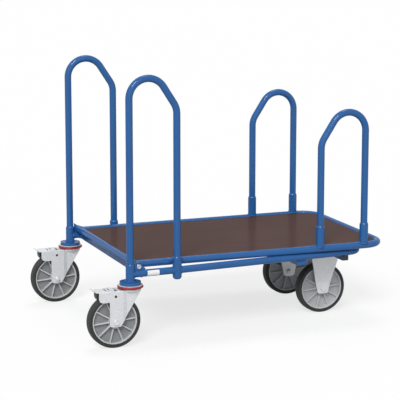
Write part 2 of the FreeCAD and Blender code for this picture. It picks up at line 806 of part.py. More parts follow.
def castor_carrier():
    front_bolts = [spot for _, sign in SIDES for spot in bolt_places(sign)[0]]
    caps = castor_beam("castor_beam_front", BEAM_FRONT, "front_beam_width", front_bolts)
    caps += castor_beam("castor_beam_rear", BEAM_REAR, "rear_beam_width", [])
    group("beam_end_caps", caps)
    rear_edge = f"({BEAM_REAR} + rear_beam_width / 2 + weld_gap)"
    front_edge = f"({BEAM_FRONT} - front_beam_width / 2 - weld_gap)"
    fasteners = []
    for side, sign in SIDES:
        plate = new_body(f"castor_mount_plate_{side}")
        middle = f"({sign} * fixed_castor_spacing / 2)"
        sketch = new_sketch(plate, "XY_Plane")
        rectangle(sketch, rear_edge, front_edge, f"({middle} - castor_plate_width / 2)",
                  f"({middle} + castor_plate_width / 2)")
        front_pair, rear_pair = bolt_places(sign)
        for x, y in rear_pair:
            circle(sketch, x, y, "(castor_bolt_diameter + 2 * fit_gap)")
        pad(plate, sketch, "mount_plate_thickness")
        node(f"castor_mount_plate_{side}", place(plate, POST_X, "0", CASTOR_TOP))
        fasteners += castor_bolts(f"{side}_front", front_pair, "beam_depth")
        fasteners += castor_bolts(f"{side}_rear", rear_pair, "mount_plate_thickness")
    group("fixed_castor_bolts", fasteners)


def castor_bolts(name, pair, clamped):
    """Bolts with their heads under the castor's plate and their nuts on top of what it is bolted to."""
    items = []
    head_z = f"({CASTOR_TOP} - castor_plate_thickness)"
    nut_z = f"({CASTOR_TOP} + {clamped})"
    length = f"castor_plate_thickness + {clamped} + castor_bolt_nut + bolt_end"
    for x, y in pair:
        bolt = hex_bolt(name, "castor_bolt", length)
        items.append(place(bolt, at_reach(x), y, head_z))
        items.append(place(hex_nut(name, "castor_bolt"), at_reach(x), y, nut_z))
    return items


# Castors


def leg_section(body, sign, z, half, panel, outer, step):
    """Section of a leg at one height: a flat panel whose two edges fold inward by a step."""
    sketch = new_sketch(body, "XY_Plane", z)
    folded = f"({outer} - {step})"
    face = [(f"-{half}", folded), (f"-{panel}", outer), (panel, outer), (half, folded)]
    back = [(x, f"({y} - fork_wall)") for x, y in reversed(face)]
    outline(sketch, [(x, f"({sign} * {y})") for x, y in face + back])
    return sketch


def fixed_fork(label, sign):
    """Pressed fork: a top plate whose two legs lean in to the wheel, upright round the axle."""
    body = new_body(label)
    plate_z = f"({CASTOR_TOP} - castor_plate_thickness)"
    tip_z = f"({WHEEL_RADIUS} - leg_tip_drop)"
    flat_z = f"({WHEEL_RADIUS} + leg_flat_rise)"
    half_length = "(castor_plate_length / 2)"
    half_width = "(castor_plate_width / 2)"
    plate = new_sketch(body, "XY_Plane", plate_z)
    rectangle(plate, f"-{half_length}", half_length, f"-{half_width}", half_width)
    for x_step in (-1, 1):
        for y_step in (-1, 1):
            x = f"({x_step} * {BOLT_HALF_LENGTH})"
            y = f"({y_step} * {BOLT_HALF_WIDTH})"
            circle(plate, x, y, "(castor_bolt_diameter + 2 * fit_gap)")
    pad(body, plate, "castor_plate_thickness")
    upright = f"({FORK_WIDTH} / 2)"
    for leg_side in (1, -1):
        tip = leg_section(body, leg_side, tip_z, "leg_tip_half", "leg_tip_panel", upright, "0")
        flat = leg_section(body, leg_side, flat_z, "leg_flat_half", "leg_flat_panel", upright, "0")
        top = leg_section(body, leg_side, plate_z, "leg_top_half", "leg_top_panel", half_width,
                          "leg_wing_step")
        leg = body.newObject("PartDesign::AdditiveLoft", f"{label}_leg")
        leg.Profile = tip
        leg.Sections = [flat, top]
        leg.Ruled = True
        doc.recompute()
    axle_hole(body, "0")
    round_across(body, "fork_tip_radius", [tip_z])
    node(label, place(body, at_reach(FIXED_CASTOR), f"({sign} * fixed_castor_spacing / 2)", "0"))


def axle_hole(body, x):
    hole = new_sketch(body, "XZ_Plane")
    circle(hole, x, WHEEL_RADIUS, "(axle_diameter + 2 * fit_gap)")
    pocket(body, hole, f"2 * {FORK_WIDTH}", symmetric=True)


def round_across(body, radius, heights):
    """Round the corners that run across a fork at some heights."""
    across = Vector(0, 1, 0)
    levels = [value(height) for height in heights]
    round_edges(body, radius, lambda edge, middle: runs_along(edge, across) and any(
        near(middle.z, level) for level in levels))


def swivel_fork(label, sign):
    """Pressed fork: side plates with a rear lobe and a fold, a crown disc and the lower ball race."""
    body = new_body(label)
    tip_z = f"({WHEEL_RADIUS} - fork_tip_drop)"
    lobe_x = "(-castor_offset - lobe_reach)"
    lobe_z = f"({CROWN_TOP} - lobe_depth)"
    rear_x = "(-castor_offset - fork_rear)"
    front_x = "(-castor_offset + fork_front)"
    nose_z = f"({CROWN_TOP} - fork_nose_depth)"
    side = new_sketch(body, "XZ_Plane")
    outline(side, [
        (lobe_x, CROWN_TOP), (lobe_x, lobe_z), (rear_x, lobe_z), (rear_x, tip_z),
        (front_x, tip_z), ("fork_nose", nose_z), ("fork_nose", CROWN_TOP),
    ])
    pad(body, side, FORK_WIDTH, symmetric=True)
    far_back = "(-2 * (castor_offset + lobe_reach))"
    far_front = "(2 * fork_nose)"
    outer = f"({FORK_WIDTH} / 2)"
    folded = f"({outer} - fork_fold_step)"
    outside = new_sketch(body, "XY_Plane")
    for edge in (1, -1):
        corners = [("-fork_fold_rear", outer), ("-fork_fold_front", folded), (far_front, folded),
                   (far_front, FORK_WIDTH), ("-fork_fold_rear", FORK_WIDTH)]
        outline(outside, [(x, f"({edge} * {y})") for x, y in corners])
    pocket(body, outside, CASTOR_TOP, upward=True)
    top = value(CROWN_TOP)
    wide = value(folded)
    round_edges(body, "fork_bend", lambda edge, middle: (
        near(edge.BoundBox.ZMin, top) and abs(middle.y) > wide - 1))
    disc = new_sketch(body, "XY_Plane", CROWN_UNDER)
    circle(disc, "0", "0", "(dome_diameter + 2 * crown_margin)")
    pad(body, disc, "crown_thickness")
    inner = f"({FORK_GAP} / 2)"
    folded_inner = f"({inner} - fork_fold_step)"
    upper = [(far_back, inner), ("-fork_fold_rear", inner), ("-fork_fold_front", folded_inner),
             (far_front, folded_inner)]
    lower = [(x, f"-{y}") for x, y in reversed(upper)]
    inside = new_sketch(body, "XY_Plane")
    outline(inside, upper + lower)
    pocket(body, inside, CROWN_UNDER, upward=True)
    window = new_sketch(body, "XY_Plane")
    rectangle(window, far_back, "(crown_setback - castor_offset)", f"-{inner}", inner)
    pocket(body, window, CASTOR_TOP, upward=True)
    dome = new_sketch(body, "XY_Plane", CROWN_TOP)
    circle(dome, "0", "0", "dome_diameter")
    pad(body, dome, "dome_height")
    bore = new_sketch(body, "XY_Plane", DOME_TOP)
    circle(bore, "0", "0", "(kingpin_diameter + 2 * fit_gap)")
    pocket(body, bore, f"{DOME_TOP} - {CROWN_UNDER}")
    axle_hole(body, "-castor_offset")
    rivets = new_sketch(body, "XZ_Plane")
    pivot_z = f"({CROWN_TOP} - brake_pivot_drop)"
    circle(rivets, "-castor_offset", pivot_z, "(brake_rivet_diameter + 2 * fit_gap)")
    pocket(body, rivets, f"2 * {FORK_WIDTH}", symmetric=True)
    round_across(body, "fork_tip_radius", [tip_z])
    rear = value(lobe_x)
    across = Vector(0, 1, 0)
    round_edges(body, "lobe_rounding", lambda edge, middle: (
        runs_along(edge, across) and near(middle.x, rear) and near(middle.z, value(lobe_z))))
    node(label, place(body, POST_X, side_y(POST_HALF, sign), "0"))


def axle(label, x, y, sign):
    """Axle bolt with its head outside, the spacer tube between the fork plates, and the nut."""
    outside = f"({FORK_WIDTH} / 2)"
    inward = AGAINST_Y if sign > 0 else ALONG_Y
    bolt = hex_bolt(label, "axle", f"{FORK_WIDTH} + axle_nut + bolt_end")
    place(bolt, x, f"({y} + {sign} * {outside})", WHEEL_RADIUS, inward)
    spacer = tube(label, "spacer_diameter", "(axle_diameter + 2 * fit_gap)", f"{FORK_GAP} - 2 * fit_gap")
    place(spacer, x, f"({y} + {sign} * ({FORK_GAP} / 2 - fit_gap))", WHEEL_RADIUS, inward)
    nut = place(hex_nut(label, "axle"), x, f"({y} - {sign} * {outside})", WHEEL_RADIUS, inward)
    group(label, [bolt, spacer, nut])


def dust_ring(label, sign):
    body = tube(label, "dust_ring_diameter", "(dome_diameter + 2 * race_gap)", "dust_ring_height")
    outer_radius = value("dust_ring_diameter / 2")
    round_edges(body, "dust_ring_rounding", lambda edge, middle: has_radius(edge, outer_radius))
    node(label, place(body, POST_X, side_y(POST_HALF, sign), f"({CROWN_TOP} + dust_ring_lift)"))


def brake(side, sign):
    """Foot pedal with two cheeks that straddle the wheel, their rivets, and the shoe for the tyre."""
    pivot_x = "-castor_offset"
    pivot_z = f"({CROWN_TOP} - brake_pivot_drop)"
    plate_z = f"({CROWN_TOP} + pedal_lift)"
    top_z = f"({plate_z} + pedal_plate)"
    tip_x = "(-castor_offset - pedal_tip_back)"
    tread_x = f"({tip_x} + pedal_tread_length)"
    front_x = "(-dust_ring_diameter / 2 - pedal_ring_gap)"
    width = f"({FORK_GAP} - 2 * pedal_side_gap)"
    clear_width = f"({width} - 2 * cheek_thickness)"

    def under(x):
        """Height of the sloping plate's underside."""
        return f"({plate_z} - tan(pedal_slope) * ({front_x} - {x}))"

    tread_z = under(tread_x)
    body = new_body(f"brake_pedal_{side}")
    plate = new_sketch(body, "XZ_Plane")
    outline(plate, [
        (tip_x, f"({tread_z} + pedal_tread_rise)"), (tread_x, tread_z), (front_x, plate_z),
        (front_x, top_z), (tread_x, f"({tread_z} + pedal_plate)"),
        (tip_x, f"({tread_z} + pedal_tread_rise + pedal_plate)"),
    ])
    pad(body, plate, width, symmetric=True)
    rear_x = f"({pivot_x} - cheek_rear_back)"
    boss_rear = f"({pivot_x} - cheek_boss)"
    boss_front = f"({pivot_x} + cheek_boss)"
    boss_low = f"({pivot_z} - cheek_boss)"
    cheeks = new_sketch(body, "XZ_Plane")
    outline(cheeks, [
        (rear_x, under(rear_x)), (rear_x, f"({under(rear_x)} - cheek_rear_depth)"), (boss_rear, boss_low),
        (boss_front, boss_low), (boss_front, f"({pivot_z} + cheek_boss)"), (boss_rear, under(boss_rear)),
    ])
    pad(body, cheeks, width, symmetric=True)
    between = new_sketch(body, "XZ_Plane")
    far_rear = f"({rear_x} - cheek_boss)"
    far_front = f"({boss_front} + cheek_boss)"
    far_low = f"({boss_low} - cheek_boss)"
    outline(between, [
        (far_rear, far_low), (far_front, far_low),
        (far_front, under(far_front)), (far_rear, under(far_rear)),
    ])
    pocket(body, between, clear_width, symmetric=True)
    slots = new_sketch(body, "XY_Plane", top_z)
    slot_half = "(pedal_slot_length / 2)"
    for index in range(PEDAL_SLOTS):
        slot_x = f"({tip_x} + pedal_slot_start + {index} * pedal_slot_pitch)"
        rectangle(slots, slot_x, f"({slot_x} + pedal_slot_width)", f"-{slot_half}", slot_half)
    pocket(body, slots, f"{top_z} - {pivot_z}")
    bore = new_sketch(body, "XZ_Plane")
    circle(bore, pivot_x, pivot_z, "(brake_rivet_diameter + 2 * fit_gap)")
    pocket(body, bore, f"2 * {width}", symmetric=True)
    round_across(body, "cheek_boss - fit_gap", [boss_low])
    post_y = side_y(POST_HALF, sign)
    place(body, POST_X, post_y, "0")
    rivets = []
    for rivet_y in (f"({post_y} - {FORK_WIDTH} / 2)", f"({post_y} + {clear_width} / 2)"):
        rivet = rod(f"brake_rivet_{side}", "brake_rivet_diameter", f"({FORK_WIDTH} - {clear_width}) / 2")
        rivets.append(place(rivet, f"({POST_X} + {pivot_x})", rivet_y, pivot_z, ALONG_Y))
    group(f"brake_pedal_{side}", [body] + rivets)
    shoe = new_body(f"brake_shoe_{side}")
    block = new_sketch(shoe, "XZ_Plane")
    shoe_front = "(-castor_offset - shoe_front_back)"
    shoe_rear = f"({shoe_front} - shoe_length)"
    outline(block, [
        (shoe_front, under(shoe_front)), (shoe_front, f"({plate_z} - shoe_front_depth)"),
        (shoe_rear, f"({plate_z} - shoe_rear_depth)"), (shoe_rear, under(shoe_rear)),
    ])
    pad(shoe, block, "tyre_width - 2 * shoe_inset", symmetric=True)
    node(f"brake_shoe_{side}", place(shoe, POST_X, post_y, "0"))


def wheel(corner, x, y):
    """Tyre, ribbed rim and bearing, turned about the wheel's own axis."""
    tyre_inner = f"({WHEEL_RADIUS} - tyre_thickness)"
    band_outer = f"({tyre_inner} - fit_gap)"
    band_inner = f"({band_outer} - rim_band)"
    hub = "(hub_diameter / 2)"
    bore = "(bearing_diameter / 2 + fit_gap)"
    tyre = new_body(f"tyre_{corner}")
    section = new_sketch(tyre, "XZ_Plane")
    rectangle(section, tyre_inner, WHEEL_RADIUS, "-tyre_width / 2", "tyre_width / 2")
    revolve(tyre, section)
    tread = value(WHEEL_RADIUS)
    round_edges(tyre, "tyre_shoulder", lambda edge, middle: has_radius(edge, tread))
    rim = new_body(f"rim_{corner}")
    upper = [
        (bore, f"{HUB_WIDTH} / 2"), (hub, f"{HUB_WIDTH} / 2"), (hub, "rim_web / 2"),
        (band_inner, "rim_web / 2"), (band_inner, f"{RIM_WIDTH} / 2"), (band_outer, f"{RIM_WIDTH} / 2"),
    ]
    lower = [(radius, f"-{height}") for radius, height in reversed(upper)]
    half_section = new_sketch(rim, "XZ_Plane")
    outline(half_section, upper + lower)
    revolve(rim, half_section)
    rib = new_sketch(rim, "XY_Plane")
    rectangle(rib, f"({hub} - rim_rib_thickness / 2)", f"({band_inner} + rim_band / 2)",
              "-rim_rib_thickness / 2", "rim_rib_thickness / 2")
    first_rib = pad(rim, rib, f"{RIM_WIDTH} - 2 * rim_rib_inset", symmetric=True)
    ribs = rim.newObject("PartDesign::PolarPattern", f"rim_{corner}_ribs")
    ribs.Originals = [first_rib]
    ribs.Axis = (origin_feature(rim, "Z_Axis"), [""])
    ribs.Angle = 360
    bind(ribs, "Occurrences", "rim_rib_count")
    rim.Tip = ribs
    doc.recompute()
    bearing = tube(f"bearing_{corner}", "bearing_diameter", "(spacer_diameter + 2 * fit_gap)", HUB_WIDTH)
    node(f"tyre_{corner}", place(tyre, x, y, WHEEL_RADIUS, ALONG_Y))
    node(f"rim_{corner}", place(rim, x, y, WHEEL_RADIUS, ALONG_Y))
    node(f"bearing_{corner}", place(bearing, x, f"({y} - {HUB_WIDTH} / 2)", WHEEL_RADIUS, ALONG_Y))


def castors():
    kingpins = []
    pin_foot = f"({CROWN_UNDER} - race_gap)"
    for side, sign in SIDES:
        post_y = side_y(POST_HALF, sign)
        swivel_fork(f"swivel_fork_{side}", sign)
        dust_ring(f"dust_ring_{side}", sign)
        rear_x = f"({POST_X} - castor_offset)"
        axle(f"swivel_axle_{side}", rear_x, post_y, sign)
        brake(side, sign)
        wheel(f"rear_{side}", rear_x, post_y)
        pin_hole = "(kingpin_diameter + 2 * fit_gap)"
        head = tube(f"swivel_head_{side}", "head_diameter", pin_hole, "head_height")
        node(f"swivel_head_{side}", place(head, POST_X, post_y, HEAD_BOTTOM))
        pin = hex_bolt(f"kingpin_{side}", "kingpin", f"{FLANGE_TOP} + kingpin_nut + bolt_end - {pin_foot}")
        kingpins.append(place(pin, POST_X, post_y, pin_foot))
        kingpins.append(place(hex_nut(f"kingpin_{side}", "kingpin"), POST_X, post_y, FLANGE_TOP))
        front_x = at_reach(FIXED_CASTOR)
        front_y = f"({sign} * fixed_castor_spacing / 2)"
        fixed_fork(f"fixed_fork_{side}", sign)
        axle(f"fixed_axle_{side}", front_x, front_y, sign)
        wheel(f"front_{side}", front_x, front_y)
    group("kingpins", kingpins)


def check_and_write():
    doc.recompute()
    for item in doc.Objects:
        if "Invalid" in item.State or "Error" in item.State:
            raise RuntimeError(f"{item.Label} did not build: {item.State}")
    for item in nodes:
        if item.Shape.isNull() or not item.Shape.isValid() or not item.Shape.Solids:
            raise RuntimeError(f"{item.Label} has no valid solid")
    os.makedirs("parts", exist_ok=True)
    for item in nodes:
        item.Shape.exportStep(f"parts/{item.Label}.step")
    print(f"{len(nodes)} pieces written")


lower_frame()
posts_and_sockets()
rear_bows()
hinge()
deck_frame()
deck_board()
deck_bars()
front_bows()
castor_carrier()
castors()
check_and_write()
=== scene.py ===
import bmesh
import bpy
import numpy as np
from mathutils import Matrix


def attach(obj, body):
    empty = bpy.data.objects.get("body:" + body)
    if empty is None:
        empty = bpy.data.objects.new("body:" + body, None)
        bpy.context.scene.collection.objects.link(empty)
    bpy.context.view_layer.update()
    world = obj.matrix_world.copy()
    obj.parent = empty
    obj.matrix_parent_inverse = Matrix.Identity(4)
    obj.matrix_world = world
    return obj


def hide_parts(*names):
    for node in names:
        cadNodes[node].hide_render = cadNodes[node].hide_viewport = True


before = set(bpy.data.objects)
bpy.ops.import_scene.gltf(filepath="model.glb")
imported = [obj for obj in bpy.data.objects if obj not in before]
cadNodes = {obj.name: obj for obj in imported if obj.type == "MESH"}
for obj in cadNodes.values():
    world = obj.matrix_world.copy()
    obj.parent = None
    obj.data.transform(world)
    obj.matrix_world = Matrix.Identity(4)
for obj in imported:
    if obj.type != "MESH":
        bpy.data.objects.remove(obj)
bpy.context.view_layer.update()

# the cart's own lines, in millimetres, in the frame of the CAD
postX = -453.725         # rear castor posts
postHalf = 377.5
socketReach = 185.903    # from a post to the inner socket of its bow
socketX = postX + socketReach
socketHalf = 371.5
railZ = 268.55           # centre height of the lower rails
railTaper = np.radians(4.5)
crossReach = 46.0        # from the posts to the rear cross tube
deckZ = 295.75           # centre height of the deck's tube
deckHalf = 336.55
hingeX = postX + 32.0
hingePlateHalf = 2.5
hingeFace = postHalf + hingePlateHalf
frontBowX = (postX + 785.0, postX + 971.0)
tubeRadius = 13.45
sleeveRadius = 16.85
axleZ = 100.0
rearAxleX = postX - 66.0
frontAxleX = postX + 867.0
frontWheelHalf = 164.0
forkHalf = 31.0          # outer faces of a fork, from its wheel's middle plane
sides = {"left": 1.0, "right": -1.0}
axes = {                 # a line to turn about, and two directions across it
    "y": np.array([[0, 1.0, 0], [0, 0, 1.0], [1.0, 0, 0]]),
    "z": np.array([[0, 0, 1.0], [1.0, 0, 0], [0, 1.0, 0]]),
}


# shader wiring

class Wire:
    # one output of a shader tree: sums, products and comparisons of wires add Math nodes
    def __init__(self, tree, socket=None):
        self.tree = tree
        self.socket = socket

    def node(self, kind, settings, inputs, output=0):
        # any other node: its settings first, then the values or links of its sockets
        made = self.tree.nodes.new(kind)
        for key, setting in settings.items():
            setattr(made, key, setting)
        for key, given in inputs.items():
            if isinstance(given, Wire):
                self.tree.links.new(given.socket, made.inputs[key])
            else:
                made.inputs[key].default_value = given
        return Wire(self.tree, made.outputs[output])

    def math(self, operation, first, second):
        return self.node("ShaderNodeMath", {"operation": operation}, {0: first, 1: second})

    def __add__(self, other):
        return self.math("ADD", self, other)

    def __radd__(self, other):
        return self.math("ADD", other, self)

    def __sub__(self, other):
        return self.math("SUBTRACT", self, other)

    def __rsub__(self, other):
        return self.math("SUBTRACT", other, self)

    def __mul__(self, other):
        return self.math("MULTIPLY", self, other)

    def __rmul__(self, other):
        return self.math("MULTIPLY", other, self)

    def __truediv__(self, other):
        return self.math("DIVIDE", self, other)

    def __gt__(self, other):
        return self.math("GREATER_THAN", self, other)

    def __lt__(self, other):
        return self.math("LESS_THAN", self, other)

    def atMost(self, other):
        return self.math("MINIMUM", self, other)

    def atLeast(self, other):
        return self.math("MAXIMUM", self, other)

    def size(self):
        # the amount without its sign
        return self.math("ABSOLUTE", self, 0.0)

    def held(self):
        # kept between nought and one
        return self.atLeast(0.0).atMost(1.0)


def blend(share, first, second):
    # colour that goes from first to second as the share goes from nought to one
    return share.node("ShaderNodeMix", {"data_type": "RGBA"}, {0: share, 6: first, 7: second}, 2)


def grain(place, size, stretch=(1.0, 1.0, 1.0), detail=2.0):
    # cloudy noise with lumps of about the given size in metres, drawn out by the stretch
    scale = tuple(1.0 / (size * along) for along in stretch)
    spread = place.node("ShaderNodeMapping", {}, {"Vector": place, "Scale": scale})
    return place.node("ShaderNodeTexNoise", {}, {"Vector": spread, "Scale": 1.0, "Detail": detail})


def patches(noise, level, gain):
    # spots where the noise passes the level, with edges as sharp as the gain
    return ((noise - level) * gain).held()


def crystals(place, size):
    # one random level for each cell of about the given size in metres
    cell = place.node("ShaderNodeTexVoronoi", {}, {"Vector": place, "Scale": 1.0 / size}, "Color")
    return place.node("ShaderNodeSeparateColor", {}, {0: cell})


def relief(height, depth):
    # surface tilted by a height field of the given depth in metres
    return height.node("ShaderNodeBump", {}, {"Height": height, "Distance": depth})


def rgb(red, green, blue):
    # a picture colour from 0 to 255 as shader light
    level = np.array([red, green, blue]) / 255.0
    light = np.where(level > 0.04045, ((level + 0.055) / 1.055) ** 2.4, level / 12.92)
    return (*(float(part) for part in light), 1.0)


def newFinish(name, fixed):
    # a shader with its fixed sockets set, and the place on the piece in metres
    finish = bpy.data.materials.new(name)
    finish.use_nodes = True
    shader = finish.node_tree.nodes["Principled BSDF"]
    for key, amount in fixed.items():
        shader.inputs[key].default_value = amount
    place = Wire(finish.node_tree).node("ShaderNodeTexCoord", {}, {}, "Object")
    return finish, shader, place


def feed(shader, **wires):
    # link what varies over the surface
    for key, wire in wires.items():
        socket = {"colour": "Base Color", "roughness": "Roughness", "normal": "Normal"}[key]
        wire.tree.links.new(wire.socket, shader.inputs[socket])


# finishes

paintLook = {"body": (44, 99, 161), "deep": (36, 88, 147), "scuff": (82, 126, 178),
             "cloud size": 0.16, "scuff size": 0.018, "peel size": 0.0012, "peel depth": 0.000015}


def blueCoat():
    # powder coat: cloudy blue, fine orange peel, a few pale scuffs
    finish, shader, place = newFinish("blue_powder_coat", {
        "Specular IOR Level": 0.0, "Coat Weight": 0.5, "Coat Roughness": 0.1})
    cloud = grain(place, paintLook["cloud size"])
    peel = grain(place, paintLook["peel size"], detail=1.0)
    scuff = patches(grain(place, paintLook["scuff size"], detail=6.0), 0.7, 9.0) * 0.35
    base = blend(cloud, rgb(*paintLook["deep"]), rgb(*paintLook["body"]))
    feed(shader, colour=blend(scuff, base, rgb(*paintLook["scuff"])),
         roughness=0.14 + 0.06 * cloud + 0.2 * scuff,
         normal=relief(peel, paintLook["peel depth"]))
    return finish


zincLook = {"light": (228, 230, 232), "dark": (204, 207, 210), "crystal size": 0.0035, "stain size": 0.03,
            "rolling size": 0.0009, "rolling depth": 0.00003}


def brightZinc():
    # plated pressings: small crystals of slightly different grey, faint rolling lines
    finish, shader, place = newFinish("bright_zinc", {"Metallic": 0.3, "Specular IOR Level": 0.3})
    cell = crystals(place, zincLook["crystal size"])
    rolled = grain(place, zincLook["rolling size"], stretch=(1.0, 1.0, 18.0), detail=3.0)
    stain = patches(grain(place, zincLook["stain size"], detail=5.0), 0.6, 5.0)
    plate = blend((0.55 * cell + 0.45 * rolled).held(), rgb(*zincLook["dark"]), rgb(*zincLook["light"]))
    feed(shader, colour=blend(stain * 0.35, plate, rgb(*zincLook["dark"])),
         roughness=0.36 + 0.1 * cell + 0.08 * stain,
         normal=relief(rolled, zincLook["rolling depth"]))
    return finish


steelLook = {"light": (196, 199, 203), "dark": (150, 154, 160), "bloom size": 0.006, "mark size": 0.0006,
             "mark depth": 0.00002}


def groundSteel():
    # bearings and hinge bolts: bare steel with drawing marks along the axle and an oily bloom
    finish, shader, place = newFinish("ground_steel", {"Metallic": 1.0})
    marks = grain(place, steelLook["mark size"], stretch=(1.0, 30.0, 1.0))
    bloom = grain(place, steelLook["bloom size"], detail=4.0)
    feed(shader, colour=blend(bloom, rgb(*steelLook["dark"]), rgb(*steelLook["light"])),
         roughness=0.22 + 0.2 * bloom,
         normal=relief(marks, steelLook["mark depth"]))
    return finish


boardLook = {"film": (94, 74, 70), "dark": (80, 61, 58), "ply": (150, 118, 84), "glue": (84, 62, 46),
             "low": 0.2908, "high": 0.3018, "ply step": 0.0015, "streak size": 0.02, "cloud size": 0.25,
             "scratch size": 0.004, "mesh size": 0.0022, "mesh depth": 0.00012}
wavePeriod = 0.314       # length of one band of a wave texture at scale one


def brownFilm():
    # film-faced board: dark resin with streaks along the deck and a fine pressed mesh, bare plies at the edge
    finish, shader, place = newFinish("brown_film_board", {
        "Specular IOR Level": 0.0, "Coat Weight": 0.07, "Coat Roughness": 0.2})
    height = place.node("ShaderNodeSeparateXYZ", {}, {0: place}, "Z")
    streak = grain(place, boardLook["streak size"], stretch=(14.0, 1.0, 1.0), detail=4.0)
    cloud = grain(place, boardLook["cloud size"])
    bands = {"wave_type": "BANDS", "wave_profile": "SIN"}
    mesh = {"Vector": place, "Scale": 1.0 / boardLook["mesh size"] * wavePeriod}
    along = place.node("ShaderNodeTexWave", {**bands, "bands_direction": "X"}, mesh, 1)
    across = place.node("ShaderNodeTexWave", {**bands, "bands_direction": "Y"}, mesh, 1)
    scratch = patches(grain(place, boardLook["scratch size"], stretch=(24.0, 1.0, 1.0), detail=6.0), 0.7, 10.0)
    film = blend((0.55 * streak + 0.45 * cloud).held(), rgb(*boardLook["dark"]), rgb(*boardLook["film"]))
    film = blend(scratch * 0.25, film, rgb(*boardLook["ply"]))
    layer = place.node("ShaderNodeMath", {"operation": "FRACT"}, {0: height / boardLook["ply step"]})
    ply = blend(layer > 0.75, rgb(*boardLook["ply"]), rgb(*boardLook["glue"]))
    edge = (height > boardLook["low"]) * (height < boardLook["high"])
    feed(shader, colour=blend(edge, film, blend(streak * 0.5 + 0.3, ply, rgb(*boardLook["glue"]))),
         roughness=0.34 + 0.16 * cloud + 0.2 * scratch,
         normal=relief(along * across * 0.6 + streak * 0.4, boardLook["mesh depth"]))
    return finish


rubberLook = {"baseTone": (52, 53, 54), "dusty": (78, 78, 77), "dust size": 0.03, "skin size": 0.0011,
              "skin depth": 0.00012}


def tyreRubber():
    # solid rubber: matt charcoal, dusty in patches, fine skin
    finish, shader, place = newFinish("tyre_rubber", {"Specular IOR Level": 0.2})
    skin = grain(place, rubberLook["skin size"], detail=3.0)
    dust = patches(grain(place, rubberLook["dust size"], detail=5.0), 0.45, 2.4)
    feed(shader, colour=blend(dust * 0.6 + skin * 0.25, rgb(*rubberLook["baseTone"]), rgb(*rubberLook["dusty"])),
         roughness=0.62 + 0.2 * dust,
         normal=relief(skin, rubberLook["skin depth"]))
    return finish


# the bay colours per wheel are painted shade in the bays, the front ones lighter as painted light against the deck's
# shadow
rimLook = {"grey": (204, 206, 207), "shade": (188, 190, 191), "planes": (0.164, 0.3775),
           "dust": {"front": (178, 180, 182), "rear": (136, 138, 140)}, "shade from": 0.006, "shade over": 0.009,
           "flow size": 0.025, "spark size": 0.0007, "spark depth": 0.00004}


def greyMoulding():
    # moulded wheel centre: satin grey with a faint flow pattern and a fine spark texture,
    # painted shade in the bays near the wheel's middle plane, deeper on the rear wheels; the front wheels' bays are
    # kept lighter as painted light against the deck's shadow, and the ribs and the band keep the plain grey
    finish, shader, place = newFinish("grey_moulding", {"Specular IOR Level": 0.3})
    flow = grain(place, rimLook["flow size"], detail=4.0)
    spark = grain(place, rimLook["spark size"])
    across = place.node("ShaderNodeSeparateXYZ", {}, {0: place}, "Y").size()
    # painted shade: darker towards each wheel's middle plane, in the bays between the ribs, fading out over the rib
    # sides
    depth = (across - rimLook["planes"][0]).size().atMost((across - rimLook["planes"][1]).size())
    outOfShade = ((depth - rimLook["shade from"]) / rimLook["shade over"] + (flow - 0.5) * 0.6).held()
    baseTone = blend(flow, rgb(*rimLook["shade"]), rgb(*rimLook["grey"]))
    # painted shade in the bays, deeper on the rear wheels; the front wheels' bays are lighter as painted light
    # against the deck's shadow
    dust = blend(across > sum(rimLook["planes"]) / 2, rgb(*rimLook["dust"]["front"]), rgb(*rimLook["dust"]["rear"]))
    feed(shader, colour=blend(outOfShade, dust, baseTone),
         roughness=0.4 + 0.12 * flow,
         normal=relief(spark, rimLook["spark depth"]))
    return finish


sealLook = {"red": (160, 28, 38), "deep": (128, 22, 32), "swirl size": 0.012, "skin size": 0.0006,
            "skin depth": 0.00003}


def redSeal():
    # moulded dust ring: saturated red with a soft gloss and slightly darker swirls
    finish, shader, place = newFinish("red_dust_seal", {"Specular IOR Level": 0.5})
    swirl = grain(place, sealLook["swirl size"], detail=3.0)
    skin = grain(place, sealLook["skin size"])
    feed(shader, colour=blend(swirl, rgb(*sealLook["deep"]), rgb(*sealLook["red"])),
         roughness=0.34 + 0.12 * swirl,
         normal=relief(skin, sealLook["skin depth"]))
    return finish


plugLook = {"black": (24, 25, 27), "worn": (52, 53, 56), "rub size": 0.012, "hide size": 0.0014,
            "hide depth": 0.0001}


def blackPlastic():
    # plugs, bushes and brake blocks: black with a leathery mould grain, greyed where rubbed
    finish, shader, place = newFinish("black_plastic", {"Specular IOR Level": 0.5})
    hide = grain(place, plugLook["hide size"], detail=3.0)
    rub = patches(grain(place, plugLook["rub size"], detail=5.0), 0.55, 3.0)
    feed(shader, colour=blend(rub * 0.6, rgb(*plugLook["black"]), rgb(*plugLook["worn"])),
         roughness=0.42 + 0.18 * hide,
         normal=relief(hide, plugLook["hide depth"]))
    return finish


labelLook = {"white": (238, 240, 240), "soiled": (214, 216, 214), "soil size": 0.008, "ripple size": 0.006,
             "ripple depth": 0.00006}


def plainLabel():
    # bare film label: white, slightly soiled, faint ripple
    finish, shader, place = newFinish("plain_label", {"Specular IOR Level": 0.5})
    soil = patches(grain(place, labelLook["soil size"], detail=5.0), 0.5, 2.0)
    ripple = grain(place, labelLook["ripple size"])
    feed(shader, colour=blend(soil, rgb(*labelLook["white"]), rgb(*labelLook["soiled"])),
         roughness=0.28 + 0.15 * soil,
         normal=relief(ripple, labelLook["ripple depth"]))
    return finish


paint = blueCoat()
zinc = brightZinc()
black = blackPlastic()
rubber = tyreRubber()
moulding = greyMoulding()
steel = groundSteel()
slotFinishes = {"paint": paint, "zinc": zinc, "steel": steel, "board": brownFilm(), "rubber": rubber,
                "rim": moulding, "red_plastic": redSeal(), "black_plastic": black}
for cadNode in cadNodes.values():
    for socket in cadNode.material_slots:
        socket.material = slotFinishes[socket.material.name.split(".")[0]]
print("finishes:", len(bpy.data.materials), "materials")


# surfaces

